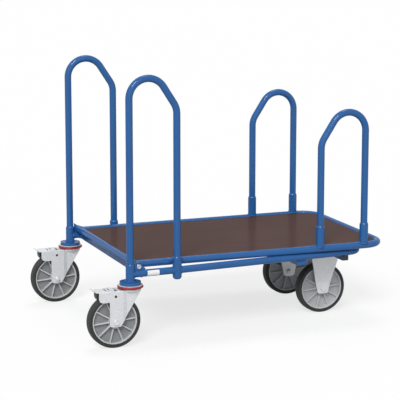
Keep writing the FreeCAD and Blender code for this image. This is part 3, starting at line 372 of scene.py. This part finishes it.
def gridFaces(rows, columns, rowLoop, columnLoop):
    # quads of a grid of points, going round where a side is closed
    row, column = np.meshgrid(np.arange(rows - (not rowLoop)), np.arange(columns - (not columnLoop)), indexing="ij")
    nextRow, nextColumn = (row + 1) % rows, (column + 1) % columns
    corners = [row * columns + column, nextRow * columns + column,
               nextRow * columns + nextColumn, row * columns + nextColumn]
    return np.stack(corners, -1).reshape(-1, 4)


def addPiece(name, grids, finish, body, stands=(), crease=35.0):
    # one object from several grids of points in millimetres: (points, rows closed, columns closed);
    # it stands in for the named CAD nodes, and edges sharper than the crease stay sharp
    starts = np.cumsum([0] + [points.shape[0] * points.shape[1] for points, _, _ in grids])
    faces = [gridFaces(*points.shape[:2], rowLoop, columnLoop) + start
             for (points, rowLoop, columnLoop), start in zip(grids, starts)]
    places = np.concatenate([points.reshape(-1, 3) for points, _, _ in grids]) * 0.001
    mesh = bpy.data.meshes.new(name)
    mesh.from_pydata(places.tolist(), [], np.concatenate(faces).tolist())
    work = bmesh.new()
    work.from_mesh(mesh)
    bmesh.ops.remove_doubles(work, verts=work.verts, dist=1e-6)      # closes the poles
    bmesh.ops.recalc_face_normals(work, faces=work.faces)
    work.to_mesh(mesh)
    work.free()
    mesh.polygons.foreach_set("use_smooth", np.ones(len(mesh.polygons), bool))
    mesh.set_sharp_from_angle(angle=np.radians(crease))
    mesh.materials.append(finish)
    piece = bpy.data.objects.new(name, mesh)
    bpy.context.scene.collection.objects.link(piece)
    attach(piece, body)
    if stands:
        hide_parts(*stands)
    return piece


def fullTurn(steps):
    # angles of a closed ring
    return np.linspace(0, 2 * np.pi, steps, endpoint=False)


def turned(profile, centre, axis, steps=96, flats=None):
    # profile rows (along, radius) carried round a line through the centre;
    # with flats, the radius is cut down to a hexagon of that width
    along, radius = np.array(profile, float).T
    line, across, up = axes[axis]
    turn = fullTurn(steps)
    reach = np.repeat(radius[:, None], steps, 1)
    if flats:
        hexagon = flats / 2 / np.cos((turn + np.pi / 6) % (np.pi / 3) - np.pi / 6)
        reach = np.minimum(reach, hexagon[None, :])
    ring = np.cos(turn)[:, None] * across + np.sin(turn)[:, None] * up
    return np.asarray(centre, float) + along[:, None, None] * line + reach[..., None] * ring[None]


def arc(centreA, centreB, radius, start, end, count):
    # points of a circle's arc between two angles in degrees
    angle = np.radians(np.linspace(start, end, count))
    return np.stack([centreA + radius * np.cos(angle), centreB + radius * np.sin(angle)], 1)


# tyres

tyreForm = {"radius": 100.0, "half width": 20.0, "shoulder": 7.0, "inside": 86.0, "groove radius": 90.0,
            "groove depth": 0.9, "seam": 0.25}
wheelCentres = {
    "rear_left": (rearAxleX, postHalf, axleZ), "rear_right": (rearAxleX, -postHalf, axleZ),
    "front_left": (frontAxleX, frontWheelHalf, axleZ), "front_right": (frontAxleX, -frontWheelHalf, axleZ)}


def tyreSection():
    # half section from the bead outwards, then its mirror image: bead, side with a shallow groove, round shoulder,
    # tread with a mould seam
    form = tyreForm
    half, top = form["half width"], form["radius"] - form["seam"]
    groove = form["groove radius"]
    side = [(half - 1.6, form["inside"] + 0.1), (half - 0.3, form["inside"] + 0.5), (half, form["inside"] + 1.6),
            (half, groove - 0.9), (half - form["groove depth"], groove - 0.3),
            (half - form["groove depth"], groove + 0.3), (half, groove + 0.9)]
    bend = arc(half - form["shoulder"], top - form["shoulder"], form["shoulder"], 0, 90, 10)
    tread = [(7.0, top), (1.2, top), (0.6, form["radius"])]
    right = np.concatenate([np.array(side), bend, np.array(tread)])
    left = right[::-1] * (-1.0, 1.0)
    return np.concatenate([right, left])


for wheel, centre in wheelCentres.items():
    addPiece(f"rubber_tyre_{wheel}", [(turned(tyreSection(), centre, "y", 144), True, True)],
             rubber, f"wheel_{wheel}", [f"tyre_{wheel}"], 30.0)
print("tyres:", len(wheelCentres))


# ribbed rims

rimForm = {"ribs": 10, "first rib": 5.0, "bore": 15.1, "hub": 23.0, "hub half": 27.0, "band": 81.0, "outside": 85.9,
           "band half": 18.0, "web half": 4.0, "rib at hub": 17.0, "rib at band": 14.0, "rib foot": 4.4}


def rimFace():
    # rows of one face from the bore outwards: radius, height of the web and height of a rib there
    form = rimForm
    hub, band, web = form["hub"], form["band"], form["web half"]
    rows = [(form["bore"], form["hub half"] - 0.8), (form["bore"] + 0.8, form["hub half"]),
            (hub - 1.2, form["hub half"]), (hub - 0.3, form["hub half"] - 0.4), (hub, form["hub half"] - 1.3),
            (hub + 0.6, 14.0), (hub + 1.2, web + 3.0), (hub + 1.9, web + 1.0), (hub + 3.4, web)]
    rows += [(radius, web) for radius in np.linspace(hub + 8.0, band - 8.0, 9)]
    rows += [(band - 3.2, web), (band - 1.8, web + 1.0), (band - 1.1, web + 3.0), (band - 0.5, 13.0),
             (band, form["band half"] - 1.3), (band + 0.3, form["band half"] - 0.4), (band + 1.2, form["band half"]),
             (form["outside"] - 1.4, form["band half"]), (form["outside"] - 0.4, form["band half"] - 0.4),
             (form["outside"], form["band half"] - 1.4)]
    radius, height = np.array(rows).T
    share = np.clip((radius - hub) / (band - hub), 0, 1)
    rib = form["rib at hub"] + (form["rib at band"] - form["rib at hub"]) * share
    return radius, height, np.maximum(height, np.where((radius > hub) & (radius < band), rib, 0.0))


def rimSurface(centre):
    # height over the wheel's middle plane as a function of radius and angle: the web, raised to the rib near
    # each rib's line; columns follow a rib's parallel sides, then spread evenly over the bay to the next rib
    form = rimForm
    radius, web, rib = rimFace()
    offset = np.array([-form["rib foot"], -3.7, -3.1, -2.7, -2.2, -1.4, 0.0, 1.4, 2.2, 2.7, 3.1, 3.7])
    raised = np.array([0.0, 0.04, 0.35, 0.8, 0.97, 1.0, 1.0, 1.0, 0.97, 0.8, 0.35, 0.04])    # share of the rib
    bay = np.linspace(0, 1, 8)[:-1]
    ribAngle = np.arcsin(offset[None, :] / radius[:, None])
    foot = np.arcsin(form["rib foot"] / radius)[:, None]
    sector = 2 * np.pi / form["ribs"]
    bayAngle = foot + (sector - 2 * foot) * bay[None, :]
    angle = np.concatenate([ribAngle, bayAngle], 1)
    mask = np.concatenate([raised, np.zeros(len(bay))])
    starts = np.radians(form["first rib"]) + sector * np.arange(form["ribs"])
    angle = (angle[:, None, :] + starts[None, :, None]).reshape(len(radius), -1)
    height = web[:, None] + (rib - web)[:, None] * np.tile(mask, form["ribs"])[None, :]
    flat = np.stack([radius[:, None] * np.cos(angle), height, radius[:, None] * np.sin(angle)], -1)
    other = flat[::-1] * (1.0, -1.0, 1.0)
    return np.concatenate([flat, other]) + np.asarray(centre)


for wheel, centre in wheelCentres.items():
    addPiece(f"ribbed_rim_{wheel}", [(rimSurface(centre), True, True)],
             moulding, f"wheel_{wheel}", [f"rim_{wheel}"], 32.0)
print("rims:", rimForm["ribs"], "ribs each")


# bolts

boltForms = {
    "axle": {"flats": 18.0, "head": 7.5, "nut": 10.0, "nut bore": 5.0, "shank": 6.0, "end": 3.0,
             "spacer": 10.0, "spacer half": 28.0},
    "hinge": {"flats": 17.0, "head": 6.4, "shank": 5.0, "depth": 28.0, "chamfer": 1.0, "tip": 4.0}}


def hexHead(height, flats):
    # rows of a bolt head from its under face: washer face, six flats, round top with a shallow dish
    corner = flats / np.sqrt(3.0)
    return [(0.0, 0.0), (0.0, flats * 0.48), (0.4, flats * 0.49), (0.5, corner), (height - 1.3, corner),
            (height - 0.5, flats * 0.515), (height, flats * 0.46), (height - 0.1, flats * 0.42),
            (height - 0.5, flats * 0.36), (height - 0.5, 0.0)]


def hexNut(height, flats, bore):
    # rows of a locking nut: chamfered flats, then a round collar with the insert
    corner = flats / np.sqrt(3.0)
    return [(0.0, bore), (0.0, flats * 0.46), (0.6, flats * 0.5), (1.2, corner), (height * 0.62, corner),
            (height * 0.72, flats * 0.5), (height * 0.74, flats * 0.44), (height - 0.8, flats * 0.43),
            (height, flats * 0.38), (height, bore)]


def threadEnd(start, length, radius):
    # rows of a bolt's end: rings at the thread pitch, then a chamfered tip
    count = 12
    along = np.linspace(start, start + length - 0.8, count)
    ring = radius - 0.5 * (np.arange(count) % 2)
    return [(start, 0.0), *zip(along, ring), (start + length, radius - 1.3), (start + length, 0.0)]


def facing(rows, sign, offset):
    # rows moved to an offset along the axis and turned to look outwards
    return [(sign * (offset + along), radius) for along, radius in rows]


for wheel, centre in wheelCentres.items():
    form = boltForms["axle"]
    sign = np.sign(centre[1])
    where, side = wheel.split("_")
    name, body = f"fixed_axle_{side}", "chassis"
    if where == "rear":
        name, body = f"swivel_axle_{side}", f"swivel_castor_{side}"
    head = facing(hexHead(form["head"], form["flats"]), sign, forkHalf)
    nut = facing(hexNut(form["nut"], form["flats"], form["nut bore"]), -sign, forkHalf)
    end = facing(threadEnd(forkHalf + form["nut"], form["end"], form["shank"]), -sign, 0.0)
    half = [(-forkHalf, 0.0), (-forkHalf, form["shank"]), (-form["spacer half"], form["shank"]),
            (-form["spacer half"], form["spacer"])]
    shank = half + [(-along, radius) for along, radius in reversed(half)]
    grids = [(turned(head, centre, "y", 96, form["flats"]), False, True),
             (turned(nut, centre, "y", 96, form["flats"]), True, True),
             (turned(end, centre, "y", 48), False, True),
             (turned(shank, centre, "y", 48), False, True)]
    addPiece(f"axle_bolt_{wheel}", grids, zinc, body, [name], 28.0)

hingeGrids = []
for sign in sides.values():
    form = boltForms["hinge"]
    centre = (hingeX, 0.0, deckZ)
    head = facing(hexHead(form["head"], form["flats"]), sign, hingeFace)
    shank = facing([(0.0, 0.0), (0.0, form["shank"]), (form["chamfer"] - form["depth"], form["shank"]),
                    (-form["depth"], form["tip"]), (-form["depth"], 0.0)], sign, hingeFace)
    hingeGrids += [(turned(head, centre, "y", 96, form["flats"]), False, True),
                   (turned(shank, centre, "y", 48), False, True)]
addPiece("hinge_hex_bolts", hingeGrids, steel, "chassis", ["hinge_bolts"], 28.0)
print("bolts: four axles, two hinge bolts")


# brake pivots

pivotForm = {"radius": 4.9, "rise": 1.5, "crown": 2.2, "gap": 0.05, "height": 197.0}
for side, sign in sides.items():
    radius, rise = pivotForm["radius"], pivotForm["rise"]
    dome = [(0.0, 0.0), (0.0, radius), (0.5, radius - 0.1), (1.1, radius - 0.9), (rise, pivotForm["crown"]),
            (rise, 0.0)]
    centre = (rearAxleX, sign * postHalf, pivotForm["height"])
    grids = [(turned(facing(dome, way, forkHalf + pivotForm["gap"]), centre, "y", 40), False, True)
             for way in (1.0, -1.0)]
    addPiece(f"brake_pivot_heads_{side}", grids, black, f"brake_{side}")
print("brake pivots: four heads")


# upper races of the swivel castors, and the turned rims of the flanges over them

raceForm = {"low": 229.0, "thick": 2.2, "radius": 45.5, "inside": 33.5, "edge": 0.7, "flange": 39.6}
raceGrids = []
rimGrids = []
for sign in sides.values():
    low, high, edge = raceForm["low"], raceForm["low"] + raceForm["thick"], raceForm["edge"]
    inside, radius, flange = raceForm["inside"], raceForm["radius"], raceForm["flange"]
    centre = (postX, sign * postHalf, 0.0)
    dish = [(low, inside), (low, radius - edge), (low + edge, radius),
            (high - edge, radius), (high, radius - edge), (high, inside)]
    raceGrids.append((turned(dish, centre, "z", 120), True, True))
    rim = [(high + 0.1, inside), (high + 0.1, flange - 1.5), (high + 1.6, flange),
           (240.0, flange), (242.4, flange - 2.4), (243.1, 34.0), (242.0, inside)]
    rimGrids.append((turned(rim, centre, "z", 120), True, True))
addPiece("upper_race_lips", raceGrids, zinc, "chassis", (), 30.0)
addPiece("post_flange_rims", rimGrids, paint, "chassis", (), 30.0)
print("upper races and flange rims: two each")


# brake blocks

blockForm = {"half width": 18.0, "front": -114.0, "rear": -135.0, "front low": 200.0, "rear low": 191.0,
             "front top": 214.35, "rear top": 212.52, "rounds": (0.05, 0.05, 4.5, 1.5), "edge": 1.2}


def blockSurface(centreY):
    # the block's side outline, its lower corners rounded, carried across the tyre and drawn in at both faces
    form = blockForm
    corners = np.array([(form["front"], form["front top"]), (form["rear"], form["rear top"]),
                        (form["rear"], form["rear low"]), (form["front"], form["front low"])])
    middle = corners.mean(0)
    edges = []
    for index, radius in enumerate(form["rounds"]):
        back = corners[index - 1] - corners[index]
        ahead = corners[(index + 1) % 4] - corners[index]
        share = np.linspace(0, 1, 9)[:, None]
        first = corners[index] + back / np.linalg.norm(back) * radius
        last = corners[index] + ahead / np.linalg.norm(ahead) * radius
        edges.append((1 - share) ** 2 * first + 2 * share * (1 - share) * corners[index] + share ** 2 * last)
    around = np.concatenate(edges)
    half, edge = form["half width"], form["edge"]
    rows = [(-half, 0.0), (-half, 0.94), (-half + edge, 1.0), (half - edge, 1.0), (half, 0.94), (half, 0.0)]
    flat = np.stack([middle + (around - middle) * scale for _, scale in rows])
    across = np.broadcast_to(np.array([row[0] for row in rows])[:, None] + centreY, flat.shape[:2])
    return np.stack([postX + flat[..., 0], across, flat[..., 1]], -1)


for side, sign in sides.items():
    addPiece(f"brake_block_{side}", [(blockSurface(sign * postHalf), False, True)], black, f"brake_{side}",
             [f"brake_shoe_{side}"], 40.0)
print("brake blocks: two")


# plugs in the castor beams

plugForm = {"depth": 20.0, "corner": 2.5, "flange": 3.0, "edge": 0.9, "height": 245.0,
            "front": {"x": postX + 904.5, "start": 313.03, "width": 25.0},
            "rear": {"x": postX + 712.0, "start": 328.18, "width": 40.0}}


def roundedBar(width, depth, corner, count=6):
    # outline of a rectangle with round corners, as points (a, b)
    quarters = [arc(sa * (width / 2 - corner), sb * (depth / 2 - corner), corner, start, start + 90, count)
                for sa, sb, start in ((1, 1, 0), (-1, 1, 90), (-1, -1, 180), (1, -1, 270))]
    return np.concatenate(quarters)


def plugSurface(end, sign):
    # the flange's outline carried outwards, its outer edge rounded, closed in the middle of both faces
    form = plugForm
    beam = form[end]
    edge, thick = form["edge"], form["flange"]
    rows = [(0.0, 0.0, 0.0), (0.0, 1.0, 0.0), (thick - edge, 1.0, 0.0), (thick - 0.3, 1.0, 0.3), (thick, 1.0, edge),
            (thick, 0.0, 0.0)]
    sections = [roundedBar(beam["width"] - 2 * inset, form["depth"] - 2 * inset, form["corner"]) * scale
                for _, scale, inset in rows]
    flat = np.stack(sections)
    along = sign * (np.array([row[0] for row in rows])[:, None] + beam["start"])
    along = np.broadcast_to(along, flat.shape[:2])
    return np.stack([beam["x"] + flat[..., 0], along, form["height"] + flat[..., 1]], -1)


frontPlugs = [(plugSurface("front", sign), False, True) for sign in sides.values()]
rearPlugs = [(plugSurface("rear", sign), False, True) for sign in sides.values()]
addPiece("beam_plugs_front", frontPlugs, black, "chassis", ["beam_end_caps"], 40.0)
addPiece("beam_plugs_rear", rearPlugs, paint, "chassis", (), 40.0)
print("beam plugs: four")


# welds and sleeve collars

weldForm = {"size": 2.3, "ripple": 0.14, "pitch": 3.2, "around": 10, "steps": 168,
            "foot": {"size": 3.0, "height": 243.3, "from": 240.0},
            "plate": {"size": 1.5, "height": 282.2, "run": (21.0, 56.0)},
            "beam": {"size": 1.7, "height": 255.9, "shift": 4.6, "short": 3.0}}


def bead(line, outward, size, loop):
    # a round bead carried along a weld line, its radius rising and falling with the ripples;
    # an open bead thins to nothing at both ends
    step = (np.roll(line, -1, 0) - np.roll(line, 1, 0)) if loop else np.gradient(line, axis=0)
    tangent = step / np.linalg.norm(step, axis=1, keepdims=True)
    normal = outward - (outward * tangent).sum(1, keepdims=True) * tangent
    normal /= np.linalg.norm(normal, axis=1, keepdims=True)
    second = np.cross(tangent, normal)
    gone = np.concatenate([[0.0], np.cumsum(np.linalg.norm(np.diff(line, axis=0), axis=1))])
    radius = size * (1.0 + weldForm["ripple"] * np.abs(np.sin(np.pi * gone / weldForm["pitch"])))
    if not loop:
        ends = np.minimum(gone, gone[-1] - gone)
        radius = radius * np.sqrt(np.clip(ends / (1.5 * size), 0.0, 1.0))
    turn = fullTurn(weldForm["around"])
    ring = np.cos(turn)[None, :, None] * normal[:, None, :] + np.sin(turn)[None, :, None] * second[:, None, :]
    return line[:, None, :] + radius[:, None, None] * ring, loop, True


def tubeMeets(point, direction, crossing, upright):
    # weld line where a tube ends on the side of another, of the crossing radius, at a right angle:
    # the tube's circle, each point moved along until it lies on the crossing tube
    direction = np.asarray(direction, float) / np.linalg.norm(direction)
    upright = np.asarray(upright, float)
    sideways = np.cross(upright, direction)
    turn = fullTurn(weldForm["steps"])
    spread = tubeRadius * np.cos(turn)[:, None] * sideways
    radial = np.cos(turn)[:, None] * sideways + np.sin(turn)[:, None] * upright
    distance = np.sqrt(np.maximum(crossing ** 2 - (tubeRadius * np.cos(turn)) ** 2, 0.0))
    rise = tubeRadius * np.sin(turn)[:, None] * upright
    line = np.asarray(point) + distance[:, None] * direction + spread + rise
    return bead(line, radial, weldForm["size"], True)


def sleeveFoot(x, y):
    # weld line of an upright sleeve on a lying tube: round the sleeve, at the height of the tube's back,
    # and along the sleeve's lower rim where the tube falls away
    turn = fullTurn(weldForm["steps"])
    across = sleeveRadius * np.sin(turn)
    back = np.sqrt(np.maximum(tubeRadius ** 2 - across ** 2, 0.0))
    height = deckZ + np.maximum(back, tubeRadius - 5.0)      # sleeves reach 5 mm down over the tube
    line = np.stack([x + sleeveRadius * np.cos(turn), y + across, height], 1)
    outward = np.stack([np.cos(turn), np.sin(turn), np.full_like(turn, 0.4)], 1)
    return bead(line, outward, weldForm["size"], True)


def straightBead(start, end, outward, size):
    # a bead along a straight seam
    line = np.linspace(start, end, max(int(np.linalg.norm(np.subtract(end, start)) / 0.8), 6))
    return bead(line, np.broadcast_to(np.asarray(outward, float), line.shape), size, False)


def stubEnds(sign):
    # where a stub rail's line meets its post and the inner socket of its bow
    return np.array([postX, sign * postHalf, railZ]), np.array([socketX, sign * socketHalf, railZ])


def footWeld(sign):
    # weld round the foot of a post, on its flange
    form = weldForm["foot"]
    turn = fullTurn(weldForm["steps"])
    y = sign * postHalf
    line = np.stack([postX + sleeveRadius * np.cos(turn), y + sleeveRadius * np.sin(turn),
                     np.full_like(turn, form["height"])], 1)
    return bead(line, line - (postX, y, form["from"]), form["size"], True)


def plateWelds(sign):
    # seams along both faces of a hinge plate, on the stub rail
    form = weldForm["plate"]
    seams = []
    for way in (-1.0, 1.0):
        face = sign * (postHalf + way * hingePlateHalf)
        start, end = ((postX + reach, face, form["height"]) for reach in form["run"])
        seams.append(straightBead(start, end, (0.0, way * sign, 0.5), form["size"]))
    return seams


def beamWelds(beam, sign):
    # seams on both sides of the tapering rail, along the top of a castor beam
    form = weldForm["beam"]
    railY = socketHalf - np.tan(railTaper) * (beam["x"] - socketX)
    run = beam["width"] / 2 - form["short"]
    lean = run * np.tan(railTaper)
    seams = []
    for way in (-1.0, 1.0):
        beside = railY + way * form["shift"]
        start = (beam["x"] - run, sign * (beside + lean), form["height"])
        end = (beam["x"] + run, sign * (beside - lean), form["height"])
        seams.append(straightBead(start, end, (0.0, sign * way, 0.6), form["size"]))
    return seams


chassisWelds = []
deckWelds = []
for sign in sides.values():
    post, socket = stubEnds(sign)
    stub = socket - post
    taper = np.array([np.cos(railTaper), -sign * np.sin(railTaper), 0.0])
    up = (0.0, 0.0, 1.0)
    cross = post + stub * (crossReach / socketReach)
    chassisWelds += [footWeld(sign),
                     tubeMeets(post, stub, sleeveRadius, up),
                     tubeMeets(socket, -stub, sleeveRadius, up),
                     tubeMeets(socket, taper, sleeveRadius, up),
                     tubeMeets(cross, (0.0, -sign, 0.0), tubeRadius, (1.0, 0.0, 0.0)),
                     *plateWelds(sign), *beamWelds(plugForm["front"], sign), *beamWelds(plugForm["rear"], sign)]
    deckWelds.append(tubeMeets((hingeX, sign * deckHalf, deckZ), (1.0, 0.0, 0.0), tubeRadius, (0.0, 1.0, 0.0)))
    deckWelds += [sleeveFoot(bowX, sign * deckHalf) for bowX in frontBowX]
addPiece("chassis_weld_beads", chassisWelds, paint, "chassis", (), 50.0)
addPiece("deck_weld_beads", deckWelds, paint, "platform", (), 50.0)
print("welds:", len(chassisWelds), "on the chassis,", len(deckWelds), "on the deck")

collarForm = {"height": 6.0, "lip": 14.1, "bore": 13.65,
              "on posts": 301.0, "on rear sockets": 315.05, "on front sleeves": 379.2}


def collarSection():
    # swaged mouth of a sleeve: a short cone from the sleeve's outside to its lip
    return [(-0.3, collarForm["bore"]), (-0.3, sleeveRadius), (0.6, sleeveRadius - 0.1),
            (collarForm["height"] - 0.8, collarForm["lip"] + 0.3), (collarForm["height"], collarForm["lip"] - 0.2),
            (collarForm["height"], collarForm["bore"])]


def collar(x, y, seat):
    # one mouth, on the sleeve that stands at x and y
    return turned(collarSection(), (x, y, collarForm[seat]), "z", 72), True, True


chassisMouths = []
deckMouths = []
for sign in sides.values():
    chassisMouths += [collar(postX, sign * postHalf, "on posts"),
                      collar(socketX, sign * socketHalf, "on rear sockets")]
    deckMouths += [collar(bowX, sign * deckHalf, "on front sleeves") for bowX in frontBowX]
addPiece("rear_sleeve_mouths", chassisMouths, paint, "chassis", (), 30.0)
addPiece("front_sleeve_mouths", deckMouths, paint, "platform", (), 30.0)
print("sleeve mouths:", len(chassisMouths) + len(deckMouths))


# ledge under the board's edge

ledgeForm = {"top": 290.15, "thick": 2.4, "from tube line": 10.6, "width": 15.9, "edge": 0.4, "bend": 80.0,
             "front": postX + 1060.0, "steps": 17}


def ledgeSurface():
    # a flat strip carried round the inside of the deck's tube: its section, as distance inwards and height, goes
    # along both sides and round the two front bends, and is mitred at the hinge tube
    form = ledgeForm
    top, low, edge = form["top"], form["top"] - form["thick"], form["edge"]
    near = form["from tube line"]
    far = near + form["width"]
    inward, height = np.array([(near, low), (far - edge, low), (far, low + edge),
                               (far, top - edge), (far - edge, top), (near, top)]).T
    quarter = np.linspace(90, 0, form["steps"])
    turn = np.radians(np.concatenate([[90.0], quarter, -quarter[::-1], [-90.0]]))[:, None]
    centreY = np.where(np.arange(len(turn)) < len(turn) / 2, 1.0, -1.0)[:, None] * (deckHalf - form["bend"])
    reach = (form["bend"] - inward)[None, :]
    x = form["front"] - form["bend"] + reach * np.cos(turn)
    x[[0, -1]] = hingeX + inward
    return np.stack([x, centreY + reach * np.sin(turn), np.broadcast_to(height, x.shape)], -1)


addPiece("board_ledge", [(ledgeSurface(), True, True)], paint, "platform", (), 30.0)
print("board ledge: round the deck")


# blank label on the right stub rail

labelForm = {"start": 64.0, "end": 111.0, "half turn": 46.0, "lift": 0.28, "thick": 0.2}


def labelSurface():
    # part of a cylinder: along the stub, and over an arc round its outer side
    form = labelForm
    post, socket = stubEnds(sides["right"])
    line = (socket - post) / np.linalg.norm(socket - post)
    along = np.linspace(form["start"], form["end"], 24)
    turn = np.radians(np.linspace(-form["half turn"], form["half turn"], 24))
    outward = np.cross(line, (0.0, 0.0, 1.0))
    ring = np.cos(turn)[:, None] * outward + np.sin(turn)[:, None] * np.array([0.0, 0.0, 1.0])
    return post + along[:, None, None] * line + (tubeRadius + form["lift"]) * ring[None]


label = addPiece("blank_label", [(labelSurface(), False, False)], plainLabel(), "chassis")
shell = label.modifiers.new("film", "SOLIDIFY")
shell.thickness = labelForm["thick"] * 0.001
shell.offset = -1.0
print("label: blank")


# studio

studio = {"sky": 0.3, "floor": (252, 252, 252), "bounce": (190, 190, 190), "floor shadow": 0.26, "floor half": 40.0,
          "floor drop": 0.0004,
          "overhead": {"power": 0.8, "spread": 24.0, "tilt": (-20.0, 9.0)},
          "key": {"power": 2.15, "spread": 24.0, "tilt": (40.0, -32.0)},
          "fill": {"power": 0.4, "spread": 40.0, "tilt": (75.0, -25.0)}}


def seenDirectly(start):
    # one for rays that show a picture of what they meet, nought for light that bounces about
    seen = start.node("ShaderNodeLightPath", {}, {}, "Is Camera Ray")
    for kind in ("Is Glossy Ray", "Is Transmission Ray"):
        seen = seen.atLeast(start.node("ShaderNodeLightPath", {}, {}, kind))
    return seen


def paleFloor():
    # pale matt floor; the camera sees its shadows at part strength over white, and it throws back less light
    finish = bpy.data.materials.new("pale_floor")
    finish.use_nodes = True
    tree = finish.node_tree
    start = Wire(tree)
    matt = tree.nodes["Principled BSDF"]
    matt.inputs["Roughness"].default_value = 0.9
    matt.inputs["Specular IOR Level"].default_value = 0.0
    seen = seenDirectly(start)
    tone = blend(seen, rgb(*studio["bounce"]), rgb(*studio["floor"]))
    tree.links.new(tone.socket, matt.inputs["Base Color"])
    white = start.node("ShaderNodeEmission", {}, {"Color": (1.0, 1.0, 1.0, 1.0), "Strength": 1.0})
    mixed = start.node("ShaderNodeMixShader", {}, {0: seen * (1.0 - studio["floor shadow"]),
                                                   1: Wire(tree, matt.outputs[0]), 2: white})
    tree.links.new(mixed.socket, tree.nodes["Material Output"].inputs["Surface"])
    return finish


floorMesh = bpy.data.meshes.new("floor")
edge, drop = studio["floor half"], studio["floor drop"]
floorMesh.from_pydata([(-edge, -edge, -drop), (edge, -edge, -drop), (edge, edge, -drop), (-edge, edge, -drop)],
                      [], [(0, 1, 2, 3)])
floorMesh.materials.append(paleFloor())
floor = bpy.data.objects.new("floor", floorMesh)
bpy.context.scene.collection.objects.link(floor)

world = bpy.data.worlds.new("studio_sky")
bpy.context.scene.world = world
world.use_nodes = True
strength = studio["sky"] + (1.0 - studio["sky"]) * seenDirectly(Wire(world.node_tree))
background = world.node_tree.nodes["Background"]
background.inputs["Color"].default_value = (1.0, 1.0, 1.0, 1.0)
world.node_tree.links.new(strength.socket, background.inputs["Strength"])

for name in ("overhead", "key", "fill"):
    lamp = bpy.data.lights.new(name, "SUN")
    lamp.energy = studio[name]["power"]
    lamp.angle = np.radians(studio[name]["spread"])
    stand = bpy.data.objects.new(name, lamp)
    stand.rotation_euler = (*np.radians(studio[name]["tilt"]), 0.0)
    bpy.context.scene.collection.objects.link(stand)

cameraView = {"place": (-2.43852, -6.21684, 1.69446), "turn": -21.15, "down": 10.56, "lens": 155.16, "sensor": 36.0,
              "far end": 200.0}
lens = bpy.data.cameras.new("camera")
lens.lens = cameraView["lens"]
lens.sensor_width = cameraView["sensor"]
lens.clip_end = cameraView["far end"]
camera = bpy.data.objects.new("camera", lens)
camera.location = cameraView["place"]
camera.rotation_euler = (np.radians(90.0 - cameraView["down"]), 0.0, np.radians(cameraView["turn"]))
bpy.context.scene.collection.objects.link(camera)
bpy.context.scene.camera = camera
bpy.context.scene.view_settings.view_transform = "Standard"
print("studio: floor, sky, three lamps, camera")

bpy.context.view_layer.update()
